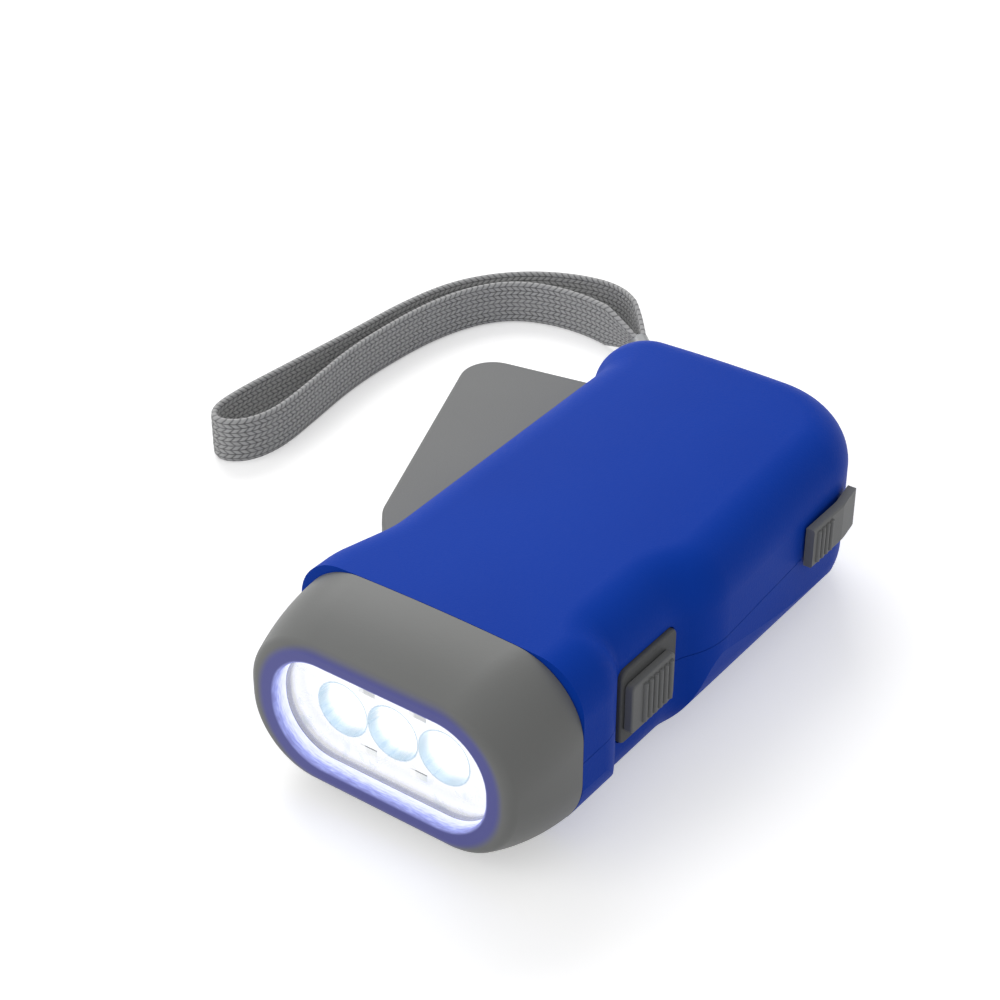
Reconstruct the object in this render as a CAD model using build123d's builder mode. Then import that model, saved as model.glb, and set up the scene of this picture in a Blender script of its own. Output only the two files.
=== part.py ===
"""Squeeze-lever dynamo torch, modelled piece by piece in millimetres.

Frame: +Z up, the torch lies flat on its lower shell, the beam leaves toward -Y.
The origin is the middle of the flat bottom face.  +X is the switch side and -X the lever side.
The lever is modelled released (swung out), the switch on (forward) and the lever lock off.
"""
import os
from math import acos, atan2, cos, degrees, pi, radians, sin, sqrt, tan

from build123d import *

# ---------------------------------------------------------------- housing
body_length = 116.0         # front rim to rear end
body_height = 34.8          # flat bottom to the crown of the top
half_width = 28.4           # at the hood joint
wall = 2.0
edge_radius = 9.0           # soft edge between top and sides, and round the rear end
keel_half = 28.45            # the lower long edges are rounder: a keel of this half width
keel_radius = 13.4
keel_draft = 12.0           # degrees that the keel opens upward, above its rounding
top_crown = 0.9             # fall of the top face from the middle to the sides
hood_length = 16.0          # front rim to the joint with the shells
seam_gap = 0.12             # shadow gap between hood and shells, and between the shells

shoulder_half = 28.3        # switch side, just behind the hood
shoulder_from_joint = 9.6
scoop_half = 25.3           # thumb scoop that holds the switch
scoop_from_joint = 13.2
scoop_length = 17.4
grip_half = 29.2            # switch side, behind the scoop
grip_from_scoop = 7.0
tail_half = 26.0            # switch side, at the rear end
tail_radius = 20.0
bump_half = 29.3            # lever side, block behind the lever
bump_length = 12.5
bump_ramp = 5.5
bump_radius = 10.0
waist_rear_half = 26.6      # lever side, beside the lever
waist_front_half = 25.2
waist_from_joint = 18.0
neck_from_joint = 6.0

front_y = -body_length / 2
rear_y = body_length / 2
joint_y = front_y + hood_length
mid_z = body_height / 2
inner_top = body_height - wall
scoop_front_y = joint_y + scoop_from_joint
scoop_rear_y = scoop_front_y + scoop_length

# ---------------------------------------------------------------- lamp head
rim_half_width = 26.0
rim_half_height = 13.15
rim_corner = 12.2
rim_round = 2.0
rim_mouth_round = 0.6
window_half_width = 21.2
window_half_height = 10.2
window_corner = 9.6
belly_from_front = 6.7      # the hood's fullest curve, behind the rim
belly_share = 0.67          # of the way from the rim's size to the size at the joint
belly_keel = 13.6
belly_corner = 10.4
belly_crown = 0.6
rim_crown = 0.2
hood_wall = 1.8
spigot_length = 4.0
spigot_gap = 0.15
spigot_wall = 1.4
spigot_root = 3.0           # overlap of the spigot with the shells
lens_depth = 3.15
lens_thickness = 1.0
lens_margin = 1.3           # how far the lens reaches under the ring
lens_gap = 0.1
reflector_depth = 9.0
reflector_flange = 1.2
cup_spacing = 10.2
cup_radius = 4.9
cup_wall = 0.8
led_radius = 2.5
led_gap = 0.15
led_body = 8.6
led_flange_radius = 2.9
led_flange = 1.0
led_leg = 0.5
led_board_half_width = 20.0
led_board_half_height = 9.0
board_thickness = 1.6
board_gap = 0.3

lens_y = front_y + lens_depth
reflector_y = lens_y + lens_thickness + lens_gap
cup_floor_y = reflector_y + reflector_depth
led_board_y = cup_floor_y + led_flange + 2 * board_gap


def outline(inset=0.0):
    """Plan of the two shells, from the hood joint on the switch side round to the lever side."""
    a_y = joint_y + shoulder_from_joint
    bump_y = rear_y - bump_length
    path = [
        (half_width, joint_y - spigot_length),
        (shoulder_half, a_y),
        (scoop_half, scoop_front_y),
        (scoop_half, scoop_rear_y),
        (grip_half, scoop_rear_y + grip_from_scoop),
        (tail_half, rear_y),
        (-bump_half, rear_y),
        (-bump_half, bump_y),
        (-waist_rear_half, bump_y - bump_ramp),
        (-waist_front_half, joint_y + waist_from_joint),
        (-half_width, joint_y + neck_from_joint),
        (-half_width, joint_y - spigot_length),
    ]
    radii = [edge_radius + 0.2, 2.5, 10.0, 14.0, tail_radius, bump_radius, edge_radius + 0.3,
             3.0, 18.0, 18.0]
    with BuildSketch() as plan:
        with BuildLine():
            FilletPolyline(*path, radius=radii)
            Line(path[-1], path[0])
        make_face()
        if inset:
            offset(amount=-inset, kind=Kind.INTERSECTION)
    return plan.sketch


def crowned_slab(inset=0.0):
    """Slab with a flat bottom and a gently crowned top that bounds the housing in height."""
    reach = half_width + 8
    crown_radius = half_width ** 2 / (2 * top_crown)
    top = body_height - inset
    side_z = top - (crown_radius - sqrt(crown_radius ** 2 - reach ** 2))
    with BuildPart() as slab:
        with BuildSketch(Plane.XZ.offset(-rear_y - 5)):
            with BuildLine():
                Polyline((-reach, side_z), (-reach, inset), (reach, inset), (reach, side_z))
                ThreePointArc((reach, side_z), (0, top), (-reach, side_z))
            make_face()
        extrude(amount=body_length + 10)
    return slab.part


def keel(inset=0.0):
    """Long solid with a flat bottom and large lower roundings, open upward by the draft."""
    centre_x = keel_half - keel_radius
    rounding = keel_radius - inset
    draft = radians(keel_draft)
    side = (centre_x + rounding * cos(draft), keel_radius - rounding * sin(draft))
    middle_angle = radians(90 + keel_draft) / 2
    middle = (centre_x + rounding * cos(middle_angle), keel_radius - rounding * sin(middle_angle))
    above = body_height + 1
    wide = side[0] + (above - side[1]) * tan(draft)
    with BuildPart() as hull:
        with BuildSketch(Plane.XZ.offset(-rear_y - 5)):
            with BuildLine():
                Polyline((-side[0], side[1]), (-wide, above), (wide, above), side)
                ThreePointArc(side, middle, (centre_x, inset))
                Line((centre_x, inset), (-centre_x, inset))
                ThreePointArc((-centre_x, inset), (-middle[0], middle[1]), (-side[0], side[1]))
            make_face()
        extrude(amount=body_length + 10)
    return hull.part


def housing_solid(inset=0.0):
    """The closed outer form of the shells, drawn in by inset on every side."""
    with BuildPart() as form:
        with BuildSketch():
            add(outline(inset))
        extrude(amount=body_height)
        add(crowned_slab(inset), mode=Mode.INTERSECT)
        rims = form.edges().filter_by(lambda e: e.center().Y > joint_y - spigot_length + 0.5 + inset)
        high = rims.filter_by(lambda e: e.bounding_box().min.Z > body_height * 0.75)
        low = rims.filter_by(lambda e: e.bounding_box().max.Z < inset + 0.01)
        fillet(high + low, radius=edge_radius - inset)
        add(keel(inset), mode=Mode.INTERSECT)
    return form.part


def cross_section(half, half_height, crown, corner, lower_corner, y):
    """Rounded section across the beam with a gently crowned top, centred at the middle height."""
    low = mid_z - half_height
    side_top = mid_z + half_height - crown
    with BuildSketch(Plane.XZ.offset(-y)) as cross:
        with BuildLine():
            Polyline((-half, side_top), (-half, low), (half, low), (half, side_top))
            ThreePointArc((half, side_top), (0, side_top + crown), (-half, side_top))
        make_face()
        fillet(cross.vertices().filter_by(lambda v: v.Z > mid_z), radius=corner)
        fillet(cross.vertices().filter_by(lambda v: v.Z < low + 0.01), radius=lower_corner)
    return cross.sketch


def section(inset, y):
    """Section of the housing at the hood joint, drawn in by inset."""
    return cross_section(half_width - inset, mid_z - inset, top_crown, edge_radius - inset,
                         keel_radius - inset, y)


def stadium(half_w, half_h, corner, y):
    """Rounded rectangle across the beam, centred on the lamp axis."""
    with BuildSketch(Plane.XZ.offset(-y)) as cross:
        with Locations((0, mid_z)):
            RectangleRounded(2 * half_w, 2 * half_h, corner)
    return cross.sketch


def save(builder, name):
    """Label the finished piece and write it to its own file."""
    builder.part.label = name
    export_step(builder.part, f"parts/{name}.step")


# ---------------------------------------------------------------- lever and its hinge
hinge_x = -18.5
hinge_from_joint = 16.0
lever_open = 21.0           # degrees between squeezed and released
lever_offset = 9.5          # outer face from the hinge axis
lever_reach = 71.5          # hinge to the rear of the outer face
lever_rear_fall = 5.5       # slope of the rear end
lever_depth = 20.2          # how far the rear end reaches past the hinge line
lever_height = 19.0
lever_drop = 9.4            # lower face of the lever under the middle height
lever_wall = 2.0
lever_corner = 6.5
lever_gap = 0.45            # between lever and slot
nose_start = 11.0
nose_end = 15.0
nose_inset = 1.2
hub_radius = 3.6
hub_neck = 2.3
pin_radius = 1.5
running_gap = 0.05          # shaft in a bore
press_gap = 0.02            # pin in a boss
tongue_wall = 0.9           # tongue inside the joint of the shells
tongue_rise = 1.0
tongue_root = 1.5
rib_count = 5
rib_thickness = 1.2

hinge_y = joint_y + hinge_from_joint
lever_low = mid_z - lever_drop
lever_high = lever_low + lever_height
pocket_low = mid_z + 2.9    # floor of the spring pocket

# ---------------------------------------------------------------- gear train
sector_module = 0.8
sector_teeth = 100          # on a full circle
sector_first = -1
sector_last = 7
sector_rim = 5.0
sector_height = 4.0
sector_drop = 2.4
pinion_teeth = 14
mesh_angle = 27.0           # from +Y toward +X, seen from the hinge
gear_module = 0.6
drive_teeth = 36
rotor_teeth = 12
rotor_angle = 35.0          # from +X toward +Y, seen from the drive axle
mesh_gap = 0.1              # added to each centre distance
backlash = 0.12
addendum = 0.75
dedendum = 1.15
gear_height = 3.6
gear_floor = 1.2            # gear above the inside of the lower shell
ratchet_radius = 7.4
ratchet_depth = 1.0
ratchet_teeth = 12
ratchet_web = 1.2
pawl_gap = 0.35
pawl_width = 1.1
drive_axle_radius = 1.0
rotor_shaft_radius = 0.8
boss_wall = 1.6
end_float = 0.3             # axial gap of shafts and gears

sector_radius = sector_module * sector_teeth / 2
pinion_radius = sector_module * pinion_teeth / 2
drive_radius = gear_module * drive_teeth / 2
rotor_pinion_radius = gear_module * rotor_teeth / 2
pinion_distance = sector_radius + pinion_radius + mesh_gap
drive_x = hinge_x + pinion_distance * sin(radians(mesh_angle))
drive_y = hinge_y + pinion_distance * cos(radians(mesh_angle))
rotor_distance = drive_radius + rotor_pinion_radius + mesh_gap
rotor_x = drive_x + rotor_distance * cos(radians(rotor_angle))
rotor_y = drive_y + rotor_distance * sin(radians(rotor_angle))
sector_low = mid_z - sector_drop
gear_low = wall + gear_floor


def involute(angle):
    return tan(angle) - angle


def tooth(teeth, module, centre):
    """Corner points of one tooth, from its right root to its left root, about the origin."""
    pitch_radius = module * teeth / 2
    base_radius = pitch_radius * cos(radians(20))
    half_pitch = pi / (2 * teeth) - backlash / (2 * pitch_radius)
    root = pitch_radius - dedendum * module
    tip = pitch_radius + addendum * module
    radii = [max(base_radius, root), pitch_radius, tip]
    halves = []
    for radius in radii:
        pressure = acos(min(1.0, base_radius / radius))
        halves.append(half_pitch + involute(radians(20)) - involute(pressure))
    right = [(root, centre - halves[0])] if root < base_radius else []
    right += [(radius, centre - half) for radius, half in zip(radii, halves)]
    left = [(radius, 2 * centre - angle) for radius, angle in reversed(right)]
    return [(radius * cos(angle), radius * sin(angle)) for radius, angle in right + left]


def gear_face(teeth, module, first_tooth):
    """Face of a full gear with one tooth centred at the given angle in degrees."""
    points = []
    for index in range(teeth):
        points += tooth(teeth, module, radians(first_tooth) + 2 * pi * index / teeth)
    with BuildSketch() as face:
        with BuildLine():
            Polyline(*points, close=True)
        make_face()
    return face.sketch


def lever_plane(z):
    """Plane turned with the lever: local +Y runs along the lever, local -X is its outer side."""
    turn = radians(lever_open)
    return Plane(origin=(hinge_x, hinge_y, z), x_dir=(cos(turn), sin(turn), 0), z_dir=(0, 0, 1))


def polar(radius, angle):
    return radius * cos(radians(angle)), radius * sin(radians(angle))


# ---------------------------------------------------------------- switch and lock on the +X side
plate_length = 16.2
plate_height = 14.6
plate_from_scoop = 0.6
plate_rise = 0.3            # middle of the plate above the shell joint
plate_thickness = 1.6
plate_seat = 0.8
plate_corner = 1.6
thumb_length = 12.4
thumb_height = 9.4
thumb_lead = 0.9            # plate showing ahead of the thumb pad
thumb_thickness = 1.5
thumb_rib = 0.55
thumb_ribs = 6
thumb_pitch = 1.5
switch_travel = 2.0
slide_gap = 0.15
stem_height = 2.0
stem_length = 5.0
stem_rise = 1.4             # middle of the stem above the shell joint
stem_reach = 3.0            # stem inside the wall
switch_length = 11.0
switch_depth = 4.0
switch_height = 5.6

lock_length = 16.6
lock_height = 7.8
lock_rise = 2.6             # middle of the lock above the shell joint
lock_front_from_rear = 31.2
lock_thickness = 1.7
lock_inner_x = 27.95        # inner face of the lock
lock_flat = 10.5
lock_turn = 9.0             # degrees that the tail of the lock turns inward
lock_ribs = 4
lock_rib_pitch = 1.5
lock_travel = 3.0
lock_stem_length = 6.0
lock_stem_height = 2.6
lock_bar = 2.0
lock_bar_height = 2.6
lock_tooth_width = 4.0
lock_tooth_reach = 2.5
lock_hook_x = -17.0
lock_window_gap = 0.7

plate_y = scoop_front_y + plate_from_scoop + plate_length / 2
plate_z = mid_z + plate_rise
thumb_y = scoop_front_y + plate_from_scoop + thumb_lead + thumb_length / 2
stem_z = mid_z + stem_rise
plate_face_x = scoop_half - plate_seat + plate_thickness
lock_y = rear_y - lock_front_from_rear + lock_length / 2
lock_z = mid_z + lock_rise
lock_stem_y = lock_y - 1.0
lock_bar_y = hinge_y + lever_reach + 1.8

# ---------------------------------------------------------------- screws and strap eye
screw_spots = [(19.2, joint_y + 6.5), (-18.6, joint_y + 6.6), (15.0, rear_y - 5.4), (-18.6, rear_y - 5.4)]
screw_boss = 3.6
screw_head_radius = 2.3
screw_head_height = 1.7
screw_shank = 1.15
screw_length = 13.0
screw_recess = 5.0
screw_gap = 0.12
eye_x = -9.0
eye_z = 11.0
eye_spread = 2.2
eye_radius = 1.25
cord_radius = 0.75

boss_top = inner_top + 0.2
boss_root = wall - 0.5
bore_low = wall - 0.8       # blind bores in the lower shell
pin_top = inner_top - 3.5
axle_top = inner_top - 2.9
blind_gap = 0.3             # under and over the ends of pins and axles
bush_radius = 2.2
bush_length = 1.7
bush_boss = 3.6
bush_top_z = inner_top - 10.5
shaft_top = bush_top_z + bush_length + 2.0
magnet_radius = 6.8
magnet_height = 10.0
magnet_low = 9.2
magnet_bore = 3.4
core_air_gap = 0.6
core_limb = 2.8
core_low = 9.0
core_height = 6.0
core_bridge_y = rotor_y + 14.6
core_inner = magnet_radius + core_air_gap
core_post_left = (rotor_x - core_inner - core_limb / 2, rotor_y + 8.0)
core_post_right = (rotor_x + core_inner + core_limb / 2, rotor_y + 3.4)
core_post_radius = 1.3

# ---------------------------------------------------------------- circuit board and cells
pcb_left = -8.0
pcb_right = 15.0
pcb_front = joint_y + 6.0
pcb_rear = joint_y + 40.5
pcb_low = wall + 1.6
pcb_top = pcb_low + board_thickness
pcb_post_inset = 2.5
pcb_post_radius = 1.5
switch_x = scoop_half - wall - tongue_wall - 0.3 - switch_depth
switch_y = thumb_y + switch_travel / 2
spring_post_x = hinge_x + 5.3
spring_post_y = hinge_y - 4.85
spring_post_radius = 1.2
led_rib_x = 14.0
led_rib_thickness = 2.4
led_rib_lip = 1.1
led_seat_z = mid_z - led_board_half_height


def side_rectangle(x, y, z, length, height, corner):
    """Rounded rectangle in the plane x = constant, facing +X."""
    with BuildSketch(Plane.YZ.offset(x)) as shape:
        with Locations((y, z)):
            RectangleRounded(length, height, corner)
    return shape.sketch


def post(x, y, low, high, radius):
    """Upright cylinder between two heights."""
    with BuildPart() as column:
        with BuildSketch(Plane.XY.offset(low)):
            with Locations((x, y)):
                Circle(radius)
        extrude(amount=high - low)
    return column.part


def block(x_low, x_high, y_low, y_high, z_low, z_high):
    """Box between six faces."""
    with BuildPart() as brick:
        with BuildSketch(Plane.XY.offset(z_low)):
            with Locations(((x_low + x_high) / 2, (y_low + y_high) / 2)):
                Rectangle(x_high - x_low, y_high - y_low)
        extrude(amount=z_high - z_low)
    return brick.part


os.makedirs("parts", exist_ok=True)

# ================================================================ both shells before the split
outer_form = housing_solid()
spigot_inset = hood_wall + spigot_gap
with BuildPart() as casing:
    add(outer_form)
    add(housing_solid(wall), mode=Mode.SUBTRACT)
    split(bisect_by=Plane.XZ.offset(-joint_y), keep=Keep.BOTTOM)
    extrude(section(spigot_inset, joint_y + spigot_root), amount=spigot_root + spigot_length)
    extrude(section(spigot_inset + spigot_wall, joint_y + spigot_root),
            amount=spigot_root + spigot_length, mode=Mode.SUBTRACT)

# tongue inside the shell joint
with BuildPart() as tongue:
    with BuildSketch(Plane.XY.offset(mid_z - tongue_root)):
        add(outline(wall - 0.2))
        add(outline(wall + tongue_wall), mode=Mode.SUBTRACT)
    extrude(amount=tongue_root - seam_gap)
    with BuildSketch(Plane.XY.offset(mid_z - seam_gap)):
        add(outline(wall + press_gap))
        add(outline(wall + tongue_wall), mode=Mode.SUBTRACT)
    extrude(amount=tongue_rise)
    split(bisect_by=Plane.XZ.offset(-(joint_y + spigot_root + 0.5)), keep=Keep.BOTTOM)
    for x, y in screw_spots:
        add(post(x, y, mid_z - seam_gap, mid_z + 2, screw_boss - 0.3), mode=Mode.SUBTRACT)

# everything that is cut through the wall of both shells
slot_ahead = 0.3            # the slot in the wall starts ahead of the hinge axis by this much
with BuildPart() as wall_cuts:
    add(block(-bump_half - 4, hinge_x - hub_radius + 1.5, hinge_y - slot_ahead,
              hinge_y + lever_reach + lever_gap, lever_low - lever_gap, lever_high + lever_gap))
    extrude(side_rectangle(scoop_half - plate_seat, plate_y, plate_z, plate_length + 2 * slide_gap,
                           plate_height + 2 * slide_gap, plate_corner), amount=6)
    extrude(side_rectangle(scoop_half - wall - 3, thumb_y + switch_travel / 2, stem_z,
                           stem_length + switch_travel + 2 * slide_gap,
                           stem_height + 2 * slide_gap, 0.6), amount=10)
    extrude(side_rectangle(tail_half - wall - 5, lock_stem_y - lock_travel / 2, lock_z,
                           lock_stem_length + lock_travel + 2 * slide_gap,
                           lock_stem_height + 2 * slide_gap, 0.6), amount=12)
    with BuildSketch(Plane.XZ.offset(-rear_y - 2)):
        with Locations((eye_x - eye_spread, eye_z), (eye_x + eye_spread, eye_z)):
            Circle(eye_radius)
    extrude(amount=wall + 6)

# ================================================================ upper shell
with BuildPart() as upper_shell:
    add(casing.part)
    split(bisect_by=Plane.XY.offset(mid_z), keep=Keep.TOP)
    for x, y in screw_spots:
        add(post(x, y, mid_z, boss_top, screw_boss - 0.6))
    add(post(hinge_x, hinge_y, lever_high + end_float, boss_top, pin_radius + boss_wall))
    add(post(drive_x, drive_y, sector_low + sector_height + 1.5, boss_top, drive_axle_radius + boss_wall))
    add(post(rotor_x, rotor_y, bush_top_z - blind_gap, boss_top, bush_boss))
    for x, y in (core_post_left, core_post_right):
        add(post(x, y, core_low + core_height, boss_top, core_post_radius))
    add(outer_form, mode=Mode.INTERSECT)
    for x, y in screw_spots:
        add(post(x, y, mid_z - 1, mid_z + 7, screw_shank + press_gap), mode=Mode.SUBTRACT)
    add(post(hinge_x, hinge_y, lever_high, pin_top + blind_gap, pin_radius + press_gap), mode=Mode.SUBTRACT)
    add(post(drive_x, drive_y, mid_z, axle_top + blind_gap, drive_axle_radius + press_gap), mode=Mode.SUBTRACT)
    add(post(rotor_x, rotor_y, mid_z, bush_top_z + bush_length, bush_radius + press_gap), mode=Mode.SUBTRACT)
    add(post(rotor_x, rotor_y, mid_z, shaft_top + blind_gap, rotor_shaft_radius + blind_gap), mode=Mode.SUBTRACT)
    add(wall_cuts.part, mode=Mode.SUBTRACT)
save(upper_shell, "upper_shell")
print("upper", upper_shell.part.is_valid, len(upper_shell.part.solids()))

# ================================================================ lower shell
with BuildPart() as lower_shell:
    add(casing.part)
    split(bisect_by=Plane.XY.offset(mid_z - seam_gap), keep=Keep.BOTTOM)
    add(tongue.part)
    for x, y in screw_spots:
        add(post(x, y, boss_root, mid_z - seam_gap, screw_boss))
    add(post(hinge_x, hinge_y, boss_root, lever_low - end_float, pin_radius + boss_wall))
    add(post(drive_x, drive_y, boss_root, gear_low - end_float, drive_axle_radius + boss_wall))
    add(post(rotor_x, rotor_y, boss_root, gear_low - end_float, bush_boss))
    for x, y in (core_post_left, core_post_right):
        add(post(x, y, boss_root, core_low, core_post_radius))
    for x in (pcb_left + pcb_post_inset, pcb_right - pcb_post_inset):
        for y in (pcb_front + pcb_post_inset, pcb_rear - pcb_post_inset):
            add(post(x, y, boss_root, pcb_low, pcb_post_radius))
    for y in (switch_y - switch_length / 4, switch_y + switch_length / 4):
        add(post(switch_x + switch_depth / 2, y, boss_root, stem_z - switch_height / 2, pcb_post_radius))
    add(post(spring_post_x, spring_post_y, boss_root, lever_high - lever_wall, spring_post_radius))
    for x in (-led_rib_x, led_rib_x):
        add(block(x - led_rib_thickness / 2, x + led_rib_thickness / 2, led_board_y - led_rib_lip,
                  led_board_y + board_thickness + led_rib_lip, spigot_inset + 0.05, led_seat_z + led_rib_lip))
        add(block(x - led_rib_thickness, x + led_rib_thickness, led_board_y - press_gap,
                  led_board_y + board_thickness + press_gap, led_seat_z, mid_z), mode=Mode.SUBTRACT)
    add(outer_form, mode=Mode.INTERSECT)
    for x, y in screw_spots:
        add(post(x, y, -1, mid_z + 1, screw_shank + screw_gap), mode=Mode.SUBTRACT)
        add(post(x, y, -1, screw_recess, screw_head_radius + screw_gap), mode=Mode.SUBTRACT)
    add(post(hinge_x, hinge_y, wall, mid_z, pin_radius + press_gap), mode=Mode.SUBTRACT)
    add(post(drive_x, drive_y, bore_low, mid_z, drive_axle_radius + press_gap), mode=Mode.SUBTRACT)
    add(post(rotor_x, rotor_y, bore_low, mid_z, bush_radius + press_gap), mode=Mode.SUBTRACT)
    add(wall_cuts.part, mode=Mode.SUBTRACT)
save(lower_shell, "lower_shell")
print("lower", lower_shell.part.is_valid, len(lower_shell.part.solids()))

# ================================================================ lamp head
belly_y = front_y + belly_from_front
belly_half = rim_half_width + belly_share * (half_width - rim_half_width)
belly_half_height = rim_half_height + belly_share * (mid_z - rim_half_height)
with BuildPart() as lamp_hood:
    rear_face = section(0.0, joint_y - seam_gap)
    belly_face = cross_section(belly_half, belly_half_height, belly_crown, belly_corner, belly_keel, belly_y)
    front_face = cross_section(rim_half_width, rim_half_height, rim_crown, rim_corner, rim_corner, front_y)
    loft([rear_face, belly_face, front_face])
    front_edges = lamp_hood.edges().filter_by(lambda e: e.bounding_box().max.Y < front_y + 0.01)
    fillet(front_edges, radius=rim_round)
    extrude(stadium(window_half_width, window_half_height, window_corner,
                    joint_y), amount=hood_length + 1, mode=Mode.SUBTRACT)
    lens_half_width = window_half_width + lens_margin
    lens_half_height = window_half_height + lens_margin
    lens_corner = window_corner + lens_margin
    extrude(stadium(lens_half_width + lens_gap, lens_half_height + lens_gap,
                    lens_corner + lens_gap, joint_y), amount=joint_y - lens_y, mode=Mode.SUBTRACT)
    extrude(section(hood_wall, joint_y), amount=spigot_length + 2 * spigot_gap, mode=Mode.SUBTRACT)
    mouth = lamp_hood.edges().filter_by(
        lambda e: e.bounding_box().max.Y < front_y + 0.01
        and abs(e.center().X) < window_half_width + 0.5
        and abs(e.center().Z - mid_z) < window_half_height + 0.2)
    fillet(mouth, radius=rim_mouth_round)
save(lamp_hood, "lamp_hood")
print("hood", lamp_hood.part.is_valid)

with BuildPart() as lens:
    extrude(stadium(lens_half_width, lens_half_height, lens_corner, lens_y + lens_thickness),
            amount=lens_thickness)
save(lens, "lens")

cup_centres = [-cup_spacing, 0.0, cup_spacing]


def cup(x, grow):
    """Solid of revolution inside one reflector cup, grown outward by a wall."""
    floor_radius = led_radius + led_gap + grow
    mouth_radius = cup_radius + grow
    belly_radius = floor_radius + 0.72 * (mouth_radius - floor_radius)
    belly = reflector_y + 0.45 * reflector_depth
    with BuildPart() as bowl:
        with BuildSketch(Plane.XY.offset(mid_z)):
            with BuildLine():
                Polyline((x, cup_floor_y), (x, reflector_y), (x + mouth_radius, reflector_y))
                ThreePointArc((x + mouth_radius, reflector_y), (x + belly_radius, belly),
                              (x + floor_radius, cup_floor_y))
                Line((x + floor_radius, cup_floor_y), (x, cup_floor_y))
            make_face()
        revolve(axis=Axis((x, 0, mid_z), (0, 1, 0)))
    return bowl.part


notch_width = 3.4
notch_height = 1.5
notch_rise = 6.0            # from the lamp axis
with BuildPart() as reflector:
    extrude(stadium(lens_half_width, lens_half_height, lens_corner,
                    reflector_y + reflector_flange), amount=reflector_flange)
    for x in cup_centres:
        add(cup(x, cup_wall))
    for x in cup_centres:
        add(cup(x, 0.0), mode=Mode.SUBTRACT)
    with BuildSketch(Plane.XZ.offset(-reflector_y - reflector_flange)):
        for side in (-1, 1):
            notch_z = mid_z + side * notch_rise
            with Locations((cup_spacing / 2, notch_z), (-cup_spacing / 2, notch_z)):
                Rectangle(notch_width, notch_height)
    extrude(amount=reflector_flange, mode=Mode.SUBTRACT)
save(reflector, "reflector")

led_seat_y = cup_floor_y + board_gap
leg_spread = 1.27
for x, name in zip(cup_centres, ("led_left", "led_middle", "led_right")):
    with BuildPart() as led:
        with BuildSketch(Plane.XY.offset(mid_z)):
            with BuildLine():
                tip_y = led_seat_y - led_body + led_flange
                Polyline((x, tip_y), (x, led_seat_y + led_flange), (x + led_flange_radius, led_seat_y + led_flange),
                         (x + led_flange_radius, led_seat_y), (x + led_radius, led_seat_y),
                         (x + led_radius, tip_y + led_radius))
                RadiusArc((x + led_radius, tip_y + led_radius), (x, tip_y), led_radius)
            make_face()
        revolve(axis=Axis((x, 0, mid_z), (0, 1, 0)))
        with BuildSketch(Plane.XZ.offset(-led_seat_y - led_flange)):
            with Locations((x - leg_spread, mid_z), (x + leg_spread, mid_z)):
                Rectangle(led_leg, led_leg)
        extrude(amount=-(board_gap + board_thickness + 0.8))
    save(led, name)

with BuildPart() as led_board:
    extrude(stadium(led_board_half_width, led_board_half_height, 4.0, led_board_y + board_thickness),
            amount=board_thickness)
    with BuildSketch(Plane.XZ.offset(-led_board_y - board_thickness)):
        for x in cup_centres:
            with Locations((x - leg_spread, mid_z), (x + leg_spread, mid_z)):
                Circle(led_leg * 0.9)
    extrude(amount=board_thickness, mode=Mode.SUBTRACT)
save(led_board, "led_board")

# ================================================================ squeeze lever
rear_corner_v = lever_reach - lever_rear_fall
lever_path = [
    (hub_radius - 0.2, 0.6),
    (lever_depth, rear_corner_v),
    (-lever_offset, lever_reach),
    (-lever_offset, nose_end),
    (-lever_offset + nose_inset, nose_start),
    (-hub_radius + 0.2, 0.6),
]
rear_slope = lever_rear_fall / (lever_depth + lever_offset)


def rear_v(u, depth):
    """Rear end of the lever at local u, moved in by depth."""
    return lever_reach - rear_slope * (u + lever_offset) - depth


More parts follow.
